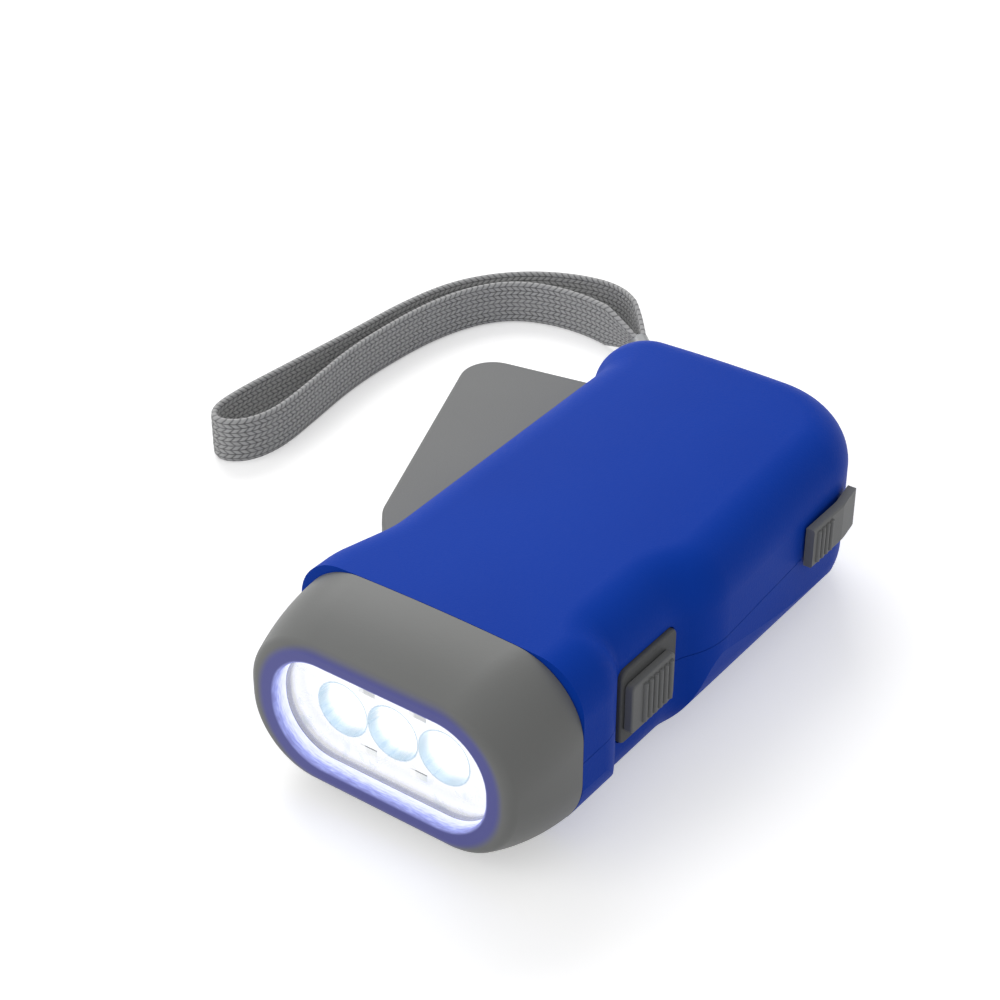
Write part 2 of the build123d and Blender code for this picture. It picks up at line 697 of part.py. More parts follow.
with BuildPart() as squeeze_lever:
    with BuildSketch(lever_plane(lever_low)):
        with BuildLine():
            FilletPolyline(*lever_path, radius=[1.5, lever_corner, 9.0, 2.5])
            Line(lever_path[-1], lever_path[0])
        make_face()
        Circle(hub_radius)
    extrude(amount=lever_height)
    fillet(squeeze_lever.edges().filter_by(
        lambda e: e.length > 3 and (abs(e.center().Z - lever_low) < 0.01 or abs(e.center().Z - lever_high) < 0.01)
        and e.center().X < hinge_x - 6.5), radius=0.8)
    with BuildSketch(lever_plane(lever_low + lever_wall)):
        with BuildLine():
            inner_u = -lever_offset + lever_wall
            Polyline((0.0, nose_start), (inner_u + 0.9, nose_start + 1.0), (inner_u, nose_end + 1.0),
                     (inner_u, rear_v(inner_u, lever_wall)), (lever_depth + 4, rear_v(lever_depth + 4, lever_wall)),
                     (lever_depth + 4, nose_start), close=True)
        make_face()
    extrude(amount=lever_height - 2 * lever_wall, mode=Mode.SUBTRACT)
    # ribs inside the channel
    with BuildSketch(lever_plane(lever_low + lever_wall / 2)):
        for index in range(rib_count):
            v = nose_end + 4.0 + index * (rear_corner_v - nose_end - 6.0) / (rib_count - 1)
            reach = 0.62 * (v * lever_depth / rear_corner_v)
            with Locations(((inner_u - 0.5 + reach) / 2, v)):
                Rectangle(reach - inner_u + 0.5, rib_thickness)
    extrude(amount=lever_height - lever_wall)
    # toothed sector and the arm that carries it
    with BuildSketch(lever_plane(sector_low)):
        with BuildLine():
            first = 90 - (mesh_angle + lever_open)
            pitch_angle = 360 / sector_teeth
            points = []
            for index in range(sector_first, sector_last + 1):
                points += tooth(sector_teeth, sector_module, radians(first + index * pitch_angle))
            low_angle = first + (sector_first - 0.5) * pitch_angle
            high_angle = 90 - degrees(atan2(lever_depth, rear_corner_v)) + 5
            rim_radius = sector_radius - dedendum * sector_module
            inner_radius = rim_radius - sector_rim
            teeth_line = Polyline(polar(rim_radius, low_angle), *points)
            last_angle = degrees(atan2(points[-1][1], points[-1][0]))
            ThreePointArc(points[-1], polar(rim_radius, (last_angle + high_angle) / 2),
                          polar(rim_radius, high_angle))
            Line(polar(rim_radius, high_angle), polar(inner_radius, high_angle))
            ThreePointArc(polar(inner_radius, high_angle), polar(inner_radius, (low_angle + high_angle) / 2),
                          polar(inner_radius, low_angle))
            Line(polar(inner_radius, low_angle), polar(rim_radius, low_angle))
        make_face()
        with BuildLine():
            Polyline((inner_u - 0.5, inner_radius - 7), (inner_u - 0.5, rim_radius - 2),
                     polar(rim_radius, high_angle), polar(inner_radius, high_angle - 6),
                     polar(inner_radius, high_angle - 2), (4.0, inner_radius - 7), close=True)
        make_face()
    extrude(amount=sector_height)
    # bore, spring pocket and the window that the lock hooks into
    with BuildSketch(lever_plane(lever_low - 1)):
        Circle(pin_radius + running_gap)
    extrude(amount=lever_height + 2, mode=Mode.SUBTRACT)
    with BuildSketch(lever_plane(pocket_low)):
        Circle(hub_radius + 0.9)
        Circle(hub_neck, mode=Mode.SUBTRACT)
        with Locations((-3.2, nose_start / 2)):
            Rectangle(1.5, nose_start + 1)
    extrude(amount=lever_high - lever_wall - pocket_low, mode=Mode.SUBTRACT)
    with BuildSketch(lever_plane(lock_z - lock_bar_height / 2 - lock_window_gap)):
        with Locations((lock_hook_x - hinge_x, lever_reach - 2)):
            Rectangle(lock_tooth_width + 2 * lock_window_gap, 7.0)
    extrude(amount=lock_bar_height + 2 * lock_window_gap, mode=Mode.SUBTRACT)
save(squeeze_lever, "squeeze_lever")
print("lever", squeeze_lever.part.is_valid, len(squeeze_lever.part.solids()))

# ================================================================ hinge pin and return spring
with BuildPart() as lever_pin:
    add(post(hinge_x, hinge_y, wall + blind_gap, pin_top, pin_radius))
    chamfer(lever_pin.edges().filter_by(GeomType.CIRCLE), length=0.25)
save(lever_pin, "lever_pin")

spring_wire = 0.7
spring_turns = 3
spring_pitch = 0.98
spring_radius = 3.2
spring_leg = 8.6
spring_low = pocket_low + spring_wire / 2 + 0.35
spring_angle = spring_turns * 360 + 90 - lever_open     # from the fixed leg to the lever leg
spring_arcs = 13            # each about a quarter turn


def coil_point(share):
    """Point of the coil after a share of its turns, clockwise from the fixed leg."""
    turned = radians(-90 - share * spring_angle)
    rise = share * spring_pitch * spring_angle / 360
    return hinge_x + spring_radius * cos(turned), hinge_y + spring_radius * sin(turned), spring_low + rise


leg_angle = radians(-90 - spring_angle)
fixed_leg_end = Vector(*coil_point(0)) + Vector(spring_leg, 0, 0)
lever_leg_end = Vector(*coil_point(1)) + Vector(sin(leg_angle), -cos(leg_angle), 0) * spring_leg
with BuildPart() as lever_spring:
    with BuildLine() as coil:
        Line(fixed_leg_end, coil_point(0))
        for index in range(spring_arcs):
            ThreePointArc(coil_point(index / spring_arcs), coil_point((index + 0.5) / spring_arcs),
                          coil_point((index + 1) / spring_arcs))
        Line(coil_point(1), lever_leg_end)
    with BuildSketch(Plane(origin=fixed_leg_end, z_dir=(-1, 0, 0))):
        Circle(spring_wire / 2)
    sweep(path=coil.wires()[0])
save(lever_spring, "lever_spring")

# ================================================================ gears
with BuildPart() as drive_axle:
    add(post(drive_x, drive_y, bore_low + 0.1, axle_top, drive_axle_radius))
save(drive_axle, "drive_axle")

mesh_to_hinge = 270 - mesh_angle           # direction from the drive axle back to the hinge
half_pinion_tooth = 180 / pinion_teeth
gear_high = gear_low + gear_height
recess_low = gear_low + ratchet_web
pinion_low = sector_low - 1.0
pinion_high = sector_low + sector_height + 1.0
with BuildPart() as drive_pinion:
    with BuildSketch(Plane(origin=(drive_x, drive_y, pinion_low))):
        add(gear_face(pinion_teeth, sector_module, mesh_to_hinge + half_pinion_tooth))
    extrude(amount=pinion_high - pinion_low)
    add(post(drive_x, drive_y, recess_low + 0.1, pinion_low, 3.4))
    # three springy pawls in the ratchet
    with BuildSketch(Plane(origin=(drive_x, drive_y, recess_low + 0.1))):
        for index in range(3):
            start = index * 120
            with BuildLine():
                tip_radius = ratchet_radius - pawl_gap - 0.2
                outer_line = ThreePointArc(polar(3.0, start), polar(5.4, start + 38), polar(tip_radius, start + 78))
                tip_line = Line(outer_line @ 1, polar(tip_radius - pawl_width, start + 80))
                ThreePointArc(tip_line @ 1, polar(5.4 - pawl_width, start + 40), polar(2.4, start + 22))
                Line(polar(2.4, start + 22), polar(3.0, start))
            make_face()
    extrude(amount=gear_high - recess_low - 0.2)
    add(post(drive_x, drive_y, gear_low - 1, pinion_high + 1, drive_axle_radius + running_gap),
        mode=Mode.SUBTRACT)
save(drive_pinion, "drive_pinion")
print("pinion", drive_pinion.part.is_valid, len(drive_pinion.part.solids()))

with BuildPart() as drive_gear:
    with BuildSketch(Plane(origin=(drive_x, drive_y, gear_low))):
        add(gear_face(drive_teeth, gear_module, rotor_angle))
    extrude(amount=gear_height)
    with BuildSketch(Plane(origin=(drive_x, drive_y, recess_low))):
        with BuildLine():
            points = []
            for index in range(ratchet_teeth):
                base = 360 * index / ratchet_teeth
                points += [polar(ratchet_radius, base), polar(ratchet_radius + ratchet_depth, base + 25)]
            Polyline(*points, close=True)
        make_face()
    extrude(amount=gear_height, mode=Mode.SUBTRACT)
    add(post(drive_x, drive_y, gear_low - 1, gear_high, drive_axle_radius + running_gap), mode=Mode.SUBTRACT)
save(drive_gear, "drive_gear")
print("gear", drive_gear.part.is_valid, len(drive_gear.part.solids()))

# ================================================================ rotor and its bushes
rotor_pinion_phase = rotor_angle + 180 + 180 / rotor_teeth
with BuildPart() as rotor_shaft:
    add(post(rotor_x, rotor_y, bore_low + 0.2, shaft_top, rotor_shaft_radius))
save(rotor_shaft, "rotor_shaft")

with BuildPart() as rotor_pinion:
    with BuildSketch(Plane(origin=(rotor_x, rotor_y, gear_low + end_float))):
        add(gear_face(rotor_teeth, gear_module, rotor_pinion_phase))
        Circle(rotor_shaft_radius, mode=Mode.SUBTRACT)
    extrude(amount=gear_height)
save(rotor_pinion, "rotor_pinion")

with BuildPart() as rotor_hub:
    add(post(rotor_x, rotor_y, gear_high + end_float, magnet_low, 2.4))
    add(post(rotor_x, rotor_y, magnet_low - 1.0, magnet_low, magnet_radius - 0.6))
    add(post(rotor_x, rotor_y, magnet_low, magnet_low + magnet_height, magnet_bore))
    add(post(rotor_x, rotor_y, 0, body_height, rotor_shaft_radius), mode=Mode.SUBTRACT)
save(rotor_hub, "rotor_hub")

with BuildPart() as rotor_magnet:
    add(post(rotor_x, rotor_y, magnet_low, magnet_low + magnet_height, magnet_radius))
    chamfer(rotor_magnet.edges().filter_by(GeomType.CIRCLE), length=0.4)
    add(post(rotor_x, rotor_y, 0, body_height, magnet_bore), mode=Mode.SUBTRACT)
save(rotor_magnet, "rotor_magnet")

for name, low in (("rotor_bush_lower", bore_low), ("rotor_bush_upper", bush_top_z)):
    with BuildPart() as bush:
        add(post(rotor_x, rotor_y, low, low + bush_length, bush_radius))
        add(post(rotor_x, rotor_y, low - 1, low + bush_length + 1, rotor_shaft_radius + running_gap),
            mode=Mode.SUBTRACT)
    save(bush, name)

# ================================================================ stator: laminated core, bobbin and winding
bobbin_gap = 0.15
bobbin_wall = 0.8
bobbin_flange = 0.9
winding_depth = 2.0
with BuildPart() as stator_core:
    with BuildSketch(Plane.XY.offset(core_low)):
        with BuildLine():
            left = rotor_x - core_inner
            right = rotor_x + core_inner
            pole_y = rotor_y + 0.4
            Polyline((left, pole_y), (left - core_limb, pole_y), (left - core_limb, core_bridge_y + core_limb),
                     (right + core_limb, core_bridge_y + core_limb), (right + core_limb, pole_y), (right, pole_y),
                     (right, core_bridge_y), (left, core_bridge_y), close=True)
        make_face()
    extrude(amount=core_height)
save(stator_core, "stator_core")

bobbin_half = core_inner - 0.3
bobbin_mid_y = core_bridge_y + core_limb / 2
bobbin_mid_z = core_low + core_height / 2


def bobbin_ring(half_length, hole_gap, depth):
    """Rectangular sleeve round the bridge of the core, between two distances from it."""
    hole_y = core_limb + 2 * hole_gap
    hole_z = core_height + 2 * hole_gap
    with BuildPart() as ring:
        with BuildSketch(Plane.YZ.offset(rotor_x - half_length)):
            with Locations((bobbin_mid_y, bobbin_mid_z)):
                RectangleRounded(hole_y + 2 * depth, hole_z + 2 * depth, min(depth, 1.6) * 0.8)
                Rectangle(hole_y, hole_z, mode=Mode.SUBTRACT)
        extrude(amount=2 * half_length)
    return ring.part


with BuildPart() as coil_bobbin:
    add(bobbin_ring(bobbin_half, bobbin_gap, bobbin_wall))
    with BuildPart(mode=Mode.PRIVATE) as flanges:
        add(bobbin_ring(bobbin_half, bobbin_gap, bobbin_wall + winding_depth + 0.4))
        add(bobbin_ring(bobbin_half - bobbin_flange, bobbin_gap, bobbin_wall + winding_depth + 1.4),
            mode=Mode.SUBTRACT)
    add(flanges.part)
save(coil_bobbin, "coil_bobbin")
print("bobbin", coil_bobbin.part.is_valid, len(coil_bobbin.part.solids()))

with BuildPart() as coil_winding:
    add(bobbin_ring(bobbin_half - bobbin_flange - 0.02, bobbin_gap + bobbin_wall + 0.02, winding_depth))
save(coil_winding, "coil_winding")

# ================================================================ circuit board, cells and small parts
cell_radius = 10.0
cell_height = 3.2
cell_x = 3.6
cell_y = joint_y + 20.6
cell_gap = 0.1
holder_floor = 0.9
holder_wall = 1.0
contact_thickness = 0.4
with BuildPart() as circuit_board:
    with BuildSketch(Plane.XY.offset(pcb_low)) as board_shape:
        with Locations(((pcb_left + pcb_right) / 2, (pcb_front + pcb_rear) / 2)):
            RectangleRounded(pcb_right - pcb_left, pcb_rear - pcb_front, 1.5)
    extrude(amount=board_thickness)
save(circuit_board, "circuit_board")

with BuildPart() as cell_holder:
    add(post(cell_x, cell_y, pcb_top, pcb_top + holder_floor + 1.6 * cell_height, cell_radius + cell_gap + holder_wall))
    add(post(cell_x, cell_y, pcb_top + holder_floor, body_height, cell_radius + cell_gap), mode=Mode.SUBTRACT)
    add(block(cell_x - 5, cell_x + 5, cell_y - cell_radius - 3, cell_y + cell_radius + 3,
              pcb_top + holder_floor, body_height), mode=Mode.SUBTRACT)
save(cell_holder, "cell_holder")

cell_low = pcb_top + holder_floor
for index, name in enumerate(("button_cell_lower", "button_cell_upper")):
    base = cell_low + index * cell_height
    with BuildPart() as cell:
        add(post(cell_x, cell_y, base, base + cell_height - 0.4, cell_radius))
        add(post(cell_x, cell_y, base + cell_height - 0.4, base + cell_height, cell_radius - 1.4))
        chamfer(cell.edges().filter_by(GeomType.CIRCLE).sort_by(Axis.Z)[0], length=0.3)
    save(cell, name)

contact_low = cell_low + 2 * cell_height
contact_half = 2.2
contact_reach = cell_radius + 2.6
with BuildPart() as cell_contact:
    with BuildSketch(Plane.YZ.offset(cell_x - contact_half)):
        with BuildLine():
            rear = cell_y + contact_reach
            Polyline((cell_y - 4, contact_low), (cell_y - 4, contact_low + contact_thickness),
                     (rear, contact_low + contact_thickness), (rear, pcb_top), (rear - contact_thickness, pcb_top),
                     (rear - contact_thickness, contact_low), close=True)
        make_face()
    extrude(amount=2 * contact_half)
save(cell_contact, "cell_contact")

# four rectifier diodes in a row, an axial body with two bent legs each
diode_first_x = pcb_left + 2.6
diode_y = pcb_rear - 4.1
diode_pitch = 3.4
diode_radius = 0.95
diode_half = 1.9
diode_rise = 1.3
lead_radius = 0.3
with BuildPart() as rectifier_diodes:
    for index in range(4):
        x = diode_first_x + index * diode_pitch
        with BuildSketch(Plane.XZ.offset(-diode_y - diode_half)):
            with Locations((x, pcb_top + diode_rise)):
                Circle(diode_radius)
        extrude(amount=2 * diode_half)
        for side in (-1, 1):
            lead_y = diode_y + side * (diode_half + 0.5)
            add(post(x, lead_y, pcb_top, pcb_top + diode_rise + lead_radius, lead_radius))
            with BuildSketch(Plane.XZ.offset(-diode_y - side * diode_half)):
                with Locations((x, pcb_top + diode_rise)):
                    Circle(lead_radius)
            extrude(amount=-side * 0.6)
save(rectifier_diodes, "rectifier_diodes")

capacitor_radius = 2.5
capacitor_height = 6.0
with BuildPart() as storage_capacitor:
    add(post(pcb_right - 4.0, pcb_rear - 4.0, pcb_top, pcb_top + capacitor_height, capacitor_radius))
    fillet(storage_capacitor.edges().filter_by(GeomType.CIRCLE).sort_by(Axis.Z)[-1], radius=0.5)
save(storage_capacitor, "storage_capacitor")

# ================================================================ slide switch
with BuildPart() as switch_plate:
    extrude(side_rectangle(scoop_half - plate_seat, plate_y, plate_z, plate_length, plate_height, plate_corner),
            amount=plate_thickness)
    fillet(switch_plate.faces().sort_by(Axis.X)[-1].edges(), radius=0.4)
    extrude(side_rectangle(scoop_half - 2, thumb_y + switch_travel / 2, stem_z,
                           stem_length + switch_travel + 2 * slide_gap, stem_height + 2 * slide_gap, 0.6),
            amount=5, mode=Mode.SUBTRACT)
save(switch_plate, "switch_plate")

with BuildPart() as switch_thumb:
    thumb_x = plate_face_x + slide_gap
    extrude(side_rectangle(thumb_x, thumb_y, plate_z, thumb_length, thumb_height, 0.9), amount=thumb_thickness)
    fillet(switch_thumb.faces().sort_by(Axis.X)[-1].edges(), radius=0.35)
    for index in range(thumb_ribs):
        rib_y = thumb_y + thumb_length / 2 - 1.4 - index * thumb_pitch
        with BuildSketch(Plane.XY.offset(plate_z - thumb_height / 2 + 0.9)):
            with Locations((thumb_x + thumb_thickness, rib_y)):
                Circle(thumb_rib)
        extrude(amount=thumb_height - 1.8)
    extrude(side_rectangle(scoop_half - wall - stem_reach, thumb_y, stem_z, stem_length, stem_height, 0.5),
            amount=stem_reach + wall - plate_seat + plate_thickness + slide_gap + 0.4)
save(switch_thumb, "switch_thumb")

with BuildPart() as switch_body:
    add(block(switch_x, switch_x + switch_depth, switch_y - switch_length / 2, switch_y + switch_length / 2,
              stem_z - switch_height / 2, stem_z + switch_height / 2))
    add(block(switch_x + 1.2, switch_x + 5, thumb_y - stem_length / 2 - 0.3,
              thumb_y + switch_travel + stem_length / 2 + 0.3, stem_z - stem_height / 2 - 0.2,
              stem_z + stem_height / 2 + 0.2), mode=Mode.SUBTRACT)
save(switch_body, "switch_body")

# ================================================================ lever lock
with BuildPart() as lever_lock:
    with BuildSketch(Plane.XY.offset(lock_z - lock_height / 2)):
        with BuildLine():
            y0 = lock_y - lock_length / 2
            y1 = y0 + lock_flat
            y2 = y0 + lock_length
            turn_in = (lock_length - lock_flat) * tan(radians(lock_turn))
            Polyline((lock_inner_x, y0), (lock_inner_x + lock_thickness, y0), (lock_inner_x + lock_thickness, y1),
                     (lock_inner_x + lock_thickness - turn_in, y2), (lock_inner_x - turn_in, y2),
                     (lock_inner_x, y1), close=True)
        make_face()
    extrude(amount=lock_height)
    fillet(lever_lock.edges().filter_by(Axis.Y).sort_by(Axis.X)[-2:], radius=0.4)
    for index in range(lock_ribs):
        rib_y = y0 + 1.6 + index * lock_rib_pitch
        with BuildSketch(Plane.XY.offset(lock_z - lock_height / 2 + 0.8)):
            with Locations((lock_inner_x + lock_thickness, rib_y)):
                Circle(0.5)
        extrude(amount=lock_height - 1.6)
    stem_x = lock_inner_x - 4.6
    extrude(side_rectangle(stem_x, lock_stem_y, lock_z, lock_stem_length, lock_stem_height, 0.5), amount=5.0)
    # arm along the wall and across the rear, with the tooth that catches the lever
    tail_x = tail_half - tail_radius
    tail_y = rear_y - tail_radius
    arm_outer = tail_radius - wall - 0.5
    arm_inner = arm_outer - 1.6
    outer_end = tail_x + sqrt(arm_outer ** 2 - (lock_bar_y + lock_bar - tail_y) ** 2)
    inner_end = tail_x + sqrt(arm_inner ** 2 - (lock_bar_y - tail_y) ** 2)
    outer_mid = degrees(atan2(lock_bar_y + lock_bar - tail_y, outer_end - tail_x)) / 2
    inner_mid = degrees(atan2(lock_bar_y - tail_y, inner_end - tail_x)) / 2
    arm_start_y = lock_stem_y - lock_stem_length / 2
    with BuildSketch(Plane.XY.offset(lock_z - lock_bar_height / 2)):
        with BuildLine():
            Line((tail_x + arm_inner, arm_start_y), (tail_x + arm_outer, arm_start_y))
            Line((tail_x + arm_outer, arm_start_y), (tail_x + arm_outer, tail_y))
            ThreePointArc((tail_x + arm_outer, tail_y),
                          (tail_x + arm_outer * cos(radians(outer_mid)), tail_y + arm_outer * sin(radians(outer_mid))),
                          (outer_end, lock_bar_y + lock_bar))
            Polyline((outer_end, lock_bar_y + lock_bar), (lock_hook_x - lock_tooth_width / 2, lock_bar_y + lock_bar),
                     (lock_hook_x - lock_tooth_width / 2, lock_bar_y - lock_tooth_reach),
                     (lock_hook_x + lock_tooth_width / 2, lock_bar_y - lock_tooth_reach),
                     (lock_hook_x + lock_tooth_width / 2, lock_bar_y), (inner_end, lock_bar_y))
            ThreePointArc((inner_end, lock_bar_y),
                          (tail_x + arm_inner * cos(radians(inner_mid)), tail_y + arm_inner * sin(radians(inner_mid))),
                          (tail_x + arm_inner, tail_y))
            Line((tail_x + arm_inner, tail_y), (tail_x + arm_inner, arm_start_y))
        make_face()
    extrude(amount=lock_bar_height)
save(lever_lock, "lever_lock")
print("lock", lever_lock.part.is_valid, len(lever_lock.part.solids()))

# ================================================================ case screws, one node of identical screws
with BuildPart() as case_screws:
    for x, y in screw_spots:
        head_low = screw_recess - screw_head_height
        add(post(x, y, head_low, screw_recess - 0.02, screw_head_radius))
        add(post(x, y, screw_recess - 0.1, screw_recess + screw_length, screw_shank))
    for x, y in screw_spots:
        add(block(x - 1.3, x + 1.3, y - 0.25, y + 0.25, 0, head_low + 0.8), mode=Mode.SUBTRACT)
        add(block(x - 0.25, x + 0.25, y - 1.3, y + 1.3, 0, head_low + 0.8), mode=Mode.SUBTRACT)
save(case_screws, "case_screws")
print("screws", len(case_screws.part.solids()))

# ================================================================ wires inside the housing
wire_radius = 0.5
led_wire_z = mid_z - 5.2
led_wire_pads = {"led_wire_positive": -5.3, "led_wire_negative": 5.3}
coil_wire_lanes = {"coil_wire_start": (rotor_x + 4.6, 0.0), "coil_wire_end": (rotor_x + 5.65, 1.0)}
coil_wire_step = 3.0
coil_wire_z = 4.4


def wire(points, radii, radius):
    """Round wire along straight runs joined by arcs."""
    with BuildPart() as strand:
        with BuildLine() as route:
            FilletPolyline(*points, radius=radii)
        with BuildSketch(Plane(origin=route.line @ 0, z_dir=route.line % 0)):
            Circle(radius)
        sweep(path=route.line)
    return strand.part


for name, x in led_wire_pads.items():
    led_rear_y = led_board_y + board_thickness
    with BuildPart() as led_wire:
        add(wire([(x, led_rear_y, led_wire_z), (x, led_rear_y + 3.0, led_wire_z),
                  (x, pcb_front + 1.6, led_wire_z - 3.6), (x, pcb_front + 1.6, pcb_top)],
                 [1.5, 1.5], wire_radius))
    save(led_wire, name)

winding_low = core_low - bobbin_gap - bobbin_wall - winding_depth
for name, (x, lane) in coil_wire_lanes.items():
    pad_y = pcb_rear - 6.6 - lane * coil_wire_step
    with BuildPart() as coil_wire:
        add(wire([(x, core_bridge_y, winding_low), (x, core_bridge_y, coil_wire_z),
                  (x, pcb_rear + 6.0, coil_wire_z),
                  (pcb_right + 2.0 + 1.6 * lane, pcb_rear - 1.0 - 2.0 * lane, pcb_top + 1.6),
                  (pcb_right - 1.4, pad_y, pcb_top + 1.6), (pcb_right - 1.4, pad_y, pcb_top)],
                 [0.7, 3.0, 2.0, 0.8], wire_radius))
    save(coil_wire, name)
print("wires done")

# ================================================================ wrist strap: webbing, crimp and cord
webbing_width = 10.0        # stands on edge on the floor
webbing_thickness = 1.4
webbing_route = [
    (-50.7, 93.1), (-60.0, 96.6), (-72.5, 97.4), (-82.8, 94.2), (-88.9, 87.0), (-92.4, 75.5),
    (-93.5, 62.0), (-93.4, 48.0), (-91.3, 34.0), (-89.6, 21.5), (-91.2, 13.6), (-96.0, 10.0),
    (-100.3, 12.6), (-100.9, 21.0), (-99.6, 37.0), (-98.2, 54.0), (-97.4, 70.0), (-95.0, 83.5),
    (-89.8, 93.2), (-82.2, 100.4), (-73.3, 104.7), (-64.0, 106.0), (-55.6, 101.6), (-50.0, 95.0),
]
crimp_start = (-50.9, 94.6, webbing_width / 2)
crimp_direction = (0.727, -0.687, 0.0)
crimp_length = 12.0
crimp_width = 4.0
crimp_height = 3.4
crimp_corner = 1.3
gather_length = 10.0        # webbing that narrows into the crimp
cord_spread = 0.87          # each strand from the middle of the crimp
cord_inside = rear_y - 5.0  # the cord turns behind the rear wall here
cord_turn = 2.1


def tangent_radii(points):
    """Arc radius at each inner point, from the shorter run beside it and the turn between the runs."""
    radii = []
    for before, here, after in zip(points, points[1:], points[2:]):
        run_in = Vector(*here) - Vector(*before)
        run_out = Vector(*after) - Vector(*here)
        half_turn = radians(run_in.get_angle(run_out)) / 2
        radii.append(0.45 * min(run_in.length, run_out.length) / tan(half_turn))
    return radii


webbing_radii = tangent_radii(webbing_route)
crimp_plane = Plane(origin=crimp_start, x_dir=crimp_direction, z_dir=(-crimp_direction[1], crimp_direction[0], 0))
with BuildPart() as strap_webbing:
    with BuildSketch():
        with BuildLine() as webbing_line:
            FilletPolyline(*webbing_route, radius=webbing_radii)
        trace(webbing_line.line, line_width=webbing_thickness)
    extrude(amount=webbing_width)
    # both ends are gathered to the height of the crimp
    with BuildSketch(crimp_plane):
        for side in (-1, 1):
            with BuildLine():
                Polyline((-gather_length, side * webbing_width / 2), (0.6, side * crimp_height / 2),
                         (8.0, side * crimp_height / 2), (8.0, side * webbing_width),
                         (-gather_length, side * webbing_width), close=True)
            make_face()
    extrude(amount=6.0, both=True, mode=Mode.SUBTRACT)
save(strap_webbing, "strap_webbing")
print("webbing", strap_webbing.part.is_valid, len(strap_webbing.part.solids()), sum(edge.length for edge in webbing_line.edges()),
      [round(radius, 1) for radius in webbing_radii])

with BuildPart() as strap_crimp:
    with BuildSketch(Plane(origin=crimp_start, x_dir=(-crimp_direction[1], crimp_direction[0], 0),
                           z_dir=crimp_direction)):
        RectangleRounded(crimp_width, crimp_height, crimp_corner)
    extrude(amount=crimp_length)
    fillet(strap_crimp.faces().sort_by(Axis.X)[0].edges() + strap_crimp.faces().sort_by(Axis.X)[-1].edges(),
           radius=0.3)
save(strap_crimp, "strap_crimp")
print("crimp", strap_crimp.part.is_valid)

crimp_end = Vector(*crimp_start) + Vector(*crimp_direction) * crimp_length
crimp_side = Vector(-crimp_direction[1], crimp_direction[0], 0)
strand_start = crimp_end + crimp_side * cord_spread
strand_end = crimp_end - crimp_side * cord_spread
eye_right = eye_x + eye_spread
eye_left = eye_x - eye_spread
cord_route = [
    tuple(strand_start), (-33.6, 81.4, 2.0), (-24.5, 76.0, 1.2), (-15.0, 71.6, 2.6), (-8.6, 67.2, 7.4),
    (eye_right, 61.2, eye_z), (eye_right, cord_inside, eye_z), (eye_left, cord_inside, eye_z),
    (eye_left, 60.2, eye_z), (-13.4, 65.0, 7.4), (-19.6, 69.4, 2.6), (-27.2, 73.6, 1.2),
    (-36.0, 79.6, 2.0), tuple(strand_end),
]
cord_radii = tangent_radii(cord_route)
for turn_point in (5, 6):
    cord_radii[turn_point] = cord_turn
with BuildPart() as strap_cord:
    with BuildLine() as cord_line:
        FilletPolyline(*cord_route, radius=cord_radii)
    with BuildSketch(Plane(origin=cord_line.line @ 0, z_dir=cord_line.line % 0)):
        Circle(cord_radius)
    sweep(path=cord_line.line)
save(strap_cord, "strap_cord")
print("cord", strap_cord.part.is_valid, strap_cord.part.volume / (pi * cord_radius ** 2), sum(edge.length for edge in cord_line.edges()),
      strap_cord.part.bounding_box().min.Z, [round(radius, 1) for radius in cord_radii])
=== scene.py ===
"""Squeeze-lever dynamo torch on a pale floor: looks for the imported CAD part, in metres.

+Z is up, the beam leaves toward -Y, the switch is on +X and the lever swings out on -X.
"""
import math

import bmesh
import bpy
from mathutils import Matrix, Vector


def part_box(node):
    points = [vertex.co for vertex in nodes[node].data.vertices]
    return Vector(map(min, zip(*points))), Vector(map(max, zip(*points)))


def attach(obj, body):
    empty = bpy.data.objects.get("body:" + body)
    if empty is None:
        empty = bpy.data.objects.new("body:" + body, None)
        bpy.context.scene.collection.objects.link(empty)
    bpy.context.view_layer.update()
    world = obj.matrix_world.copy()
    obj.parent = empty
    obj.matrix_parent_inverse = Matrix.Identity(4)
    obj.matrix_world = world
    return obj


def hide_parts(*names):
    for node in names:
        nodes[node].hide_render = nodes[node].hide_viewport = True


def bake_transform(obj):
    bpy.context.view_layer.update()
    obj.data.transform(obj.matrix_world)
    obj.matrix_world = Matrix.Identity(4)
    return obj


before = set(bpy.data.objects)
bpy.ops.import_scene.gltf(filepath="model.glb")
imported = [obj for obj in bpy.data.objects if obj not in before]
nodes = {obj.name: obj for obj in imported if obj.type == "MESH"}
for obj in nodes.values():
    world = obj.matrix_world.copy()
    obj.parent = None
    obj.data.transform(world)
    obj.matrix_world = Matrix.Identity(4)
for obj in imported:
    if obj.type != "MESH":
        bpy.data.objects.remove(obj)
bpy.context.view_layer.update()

# ---------------------------------------------------------------- camera
# The photograph was taken from above the front corner on the switch side, through a long lens.
eye = Vector((0.175685, -0.263855, 0.239700))
toward_eye = Vector((0.49649, -0.67440, 0.54652)).normalized()
camera_right = Vector((0.8053, 0.5929, 0.0)).normalized()
camera_up = toward_eye.cross(camera_right)
sensor_width = 36.0
focal_length = 80.08
camera_data = bpy.data.cameras.new("photo_camera")
camera_data.sensor_width = sensor_width
camera_data.lens = focal_length
camera = bpy.data.objects.new("photo_camera", camera_data)
camera_turn = Matrix((camera_right, camera_up, toward_eye)).transposed().to_4x4()
camera.matrix_world = Matrix.Translation(eye) @ camera_turn
bpy.context.scene.collection.objects.link(camera)
bpy.context.scene.camera = camera
bpy.context.scene.view_settings.view_transform = "Standard"


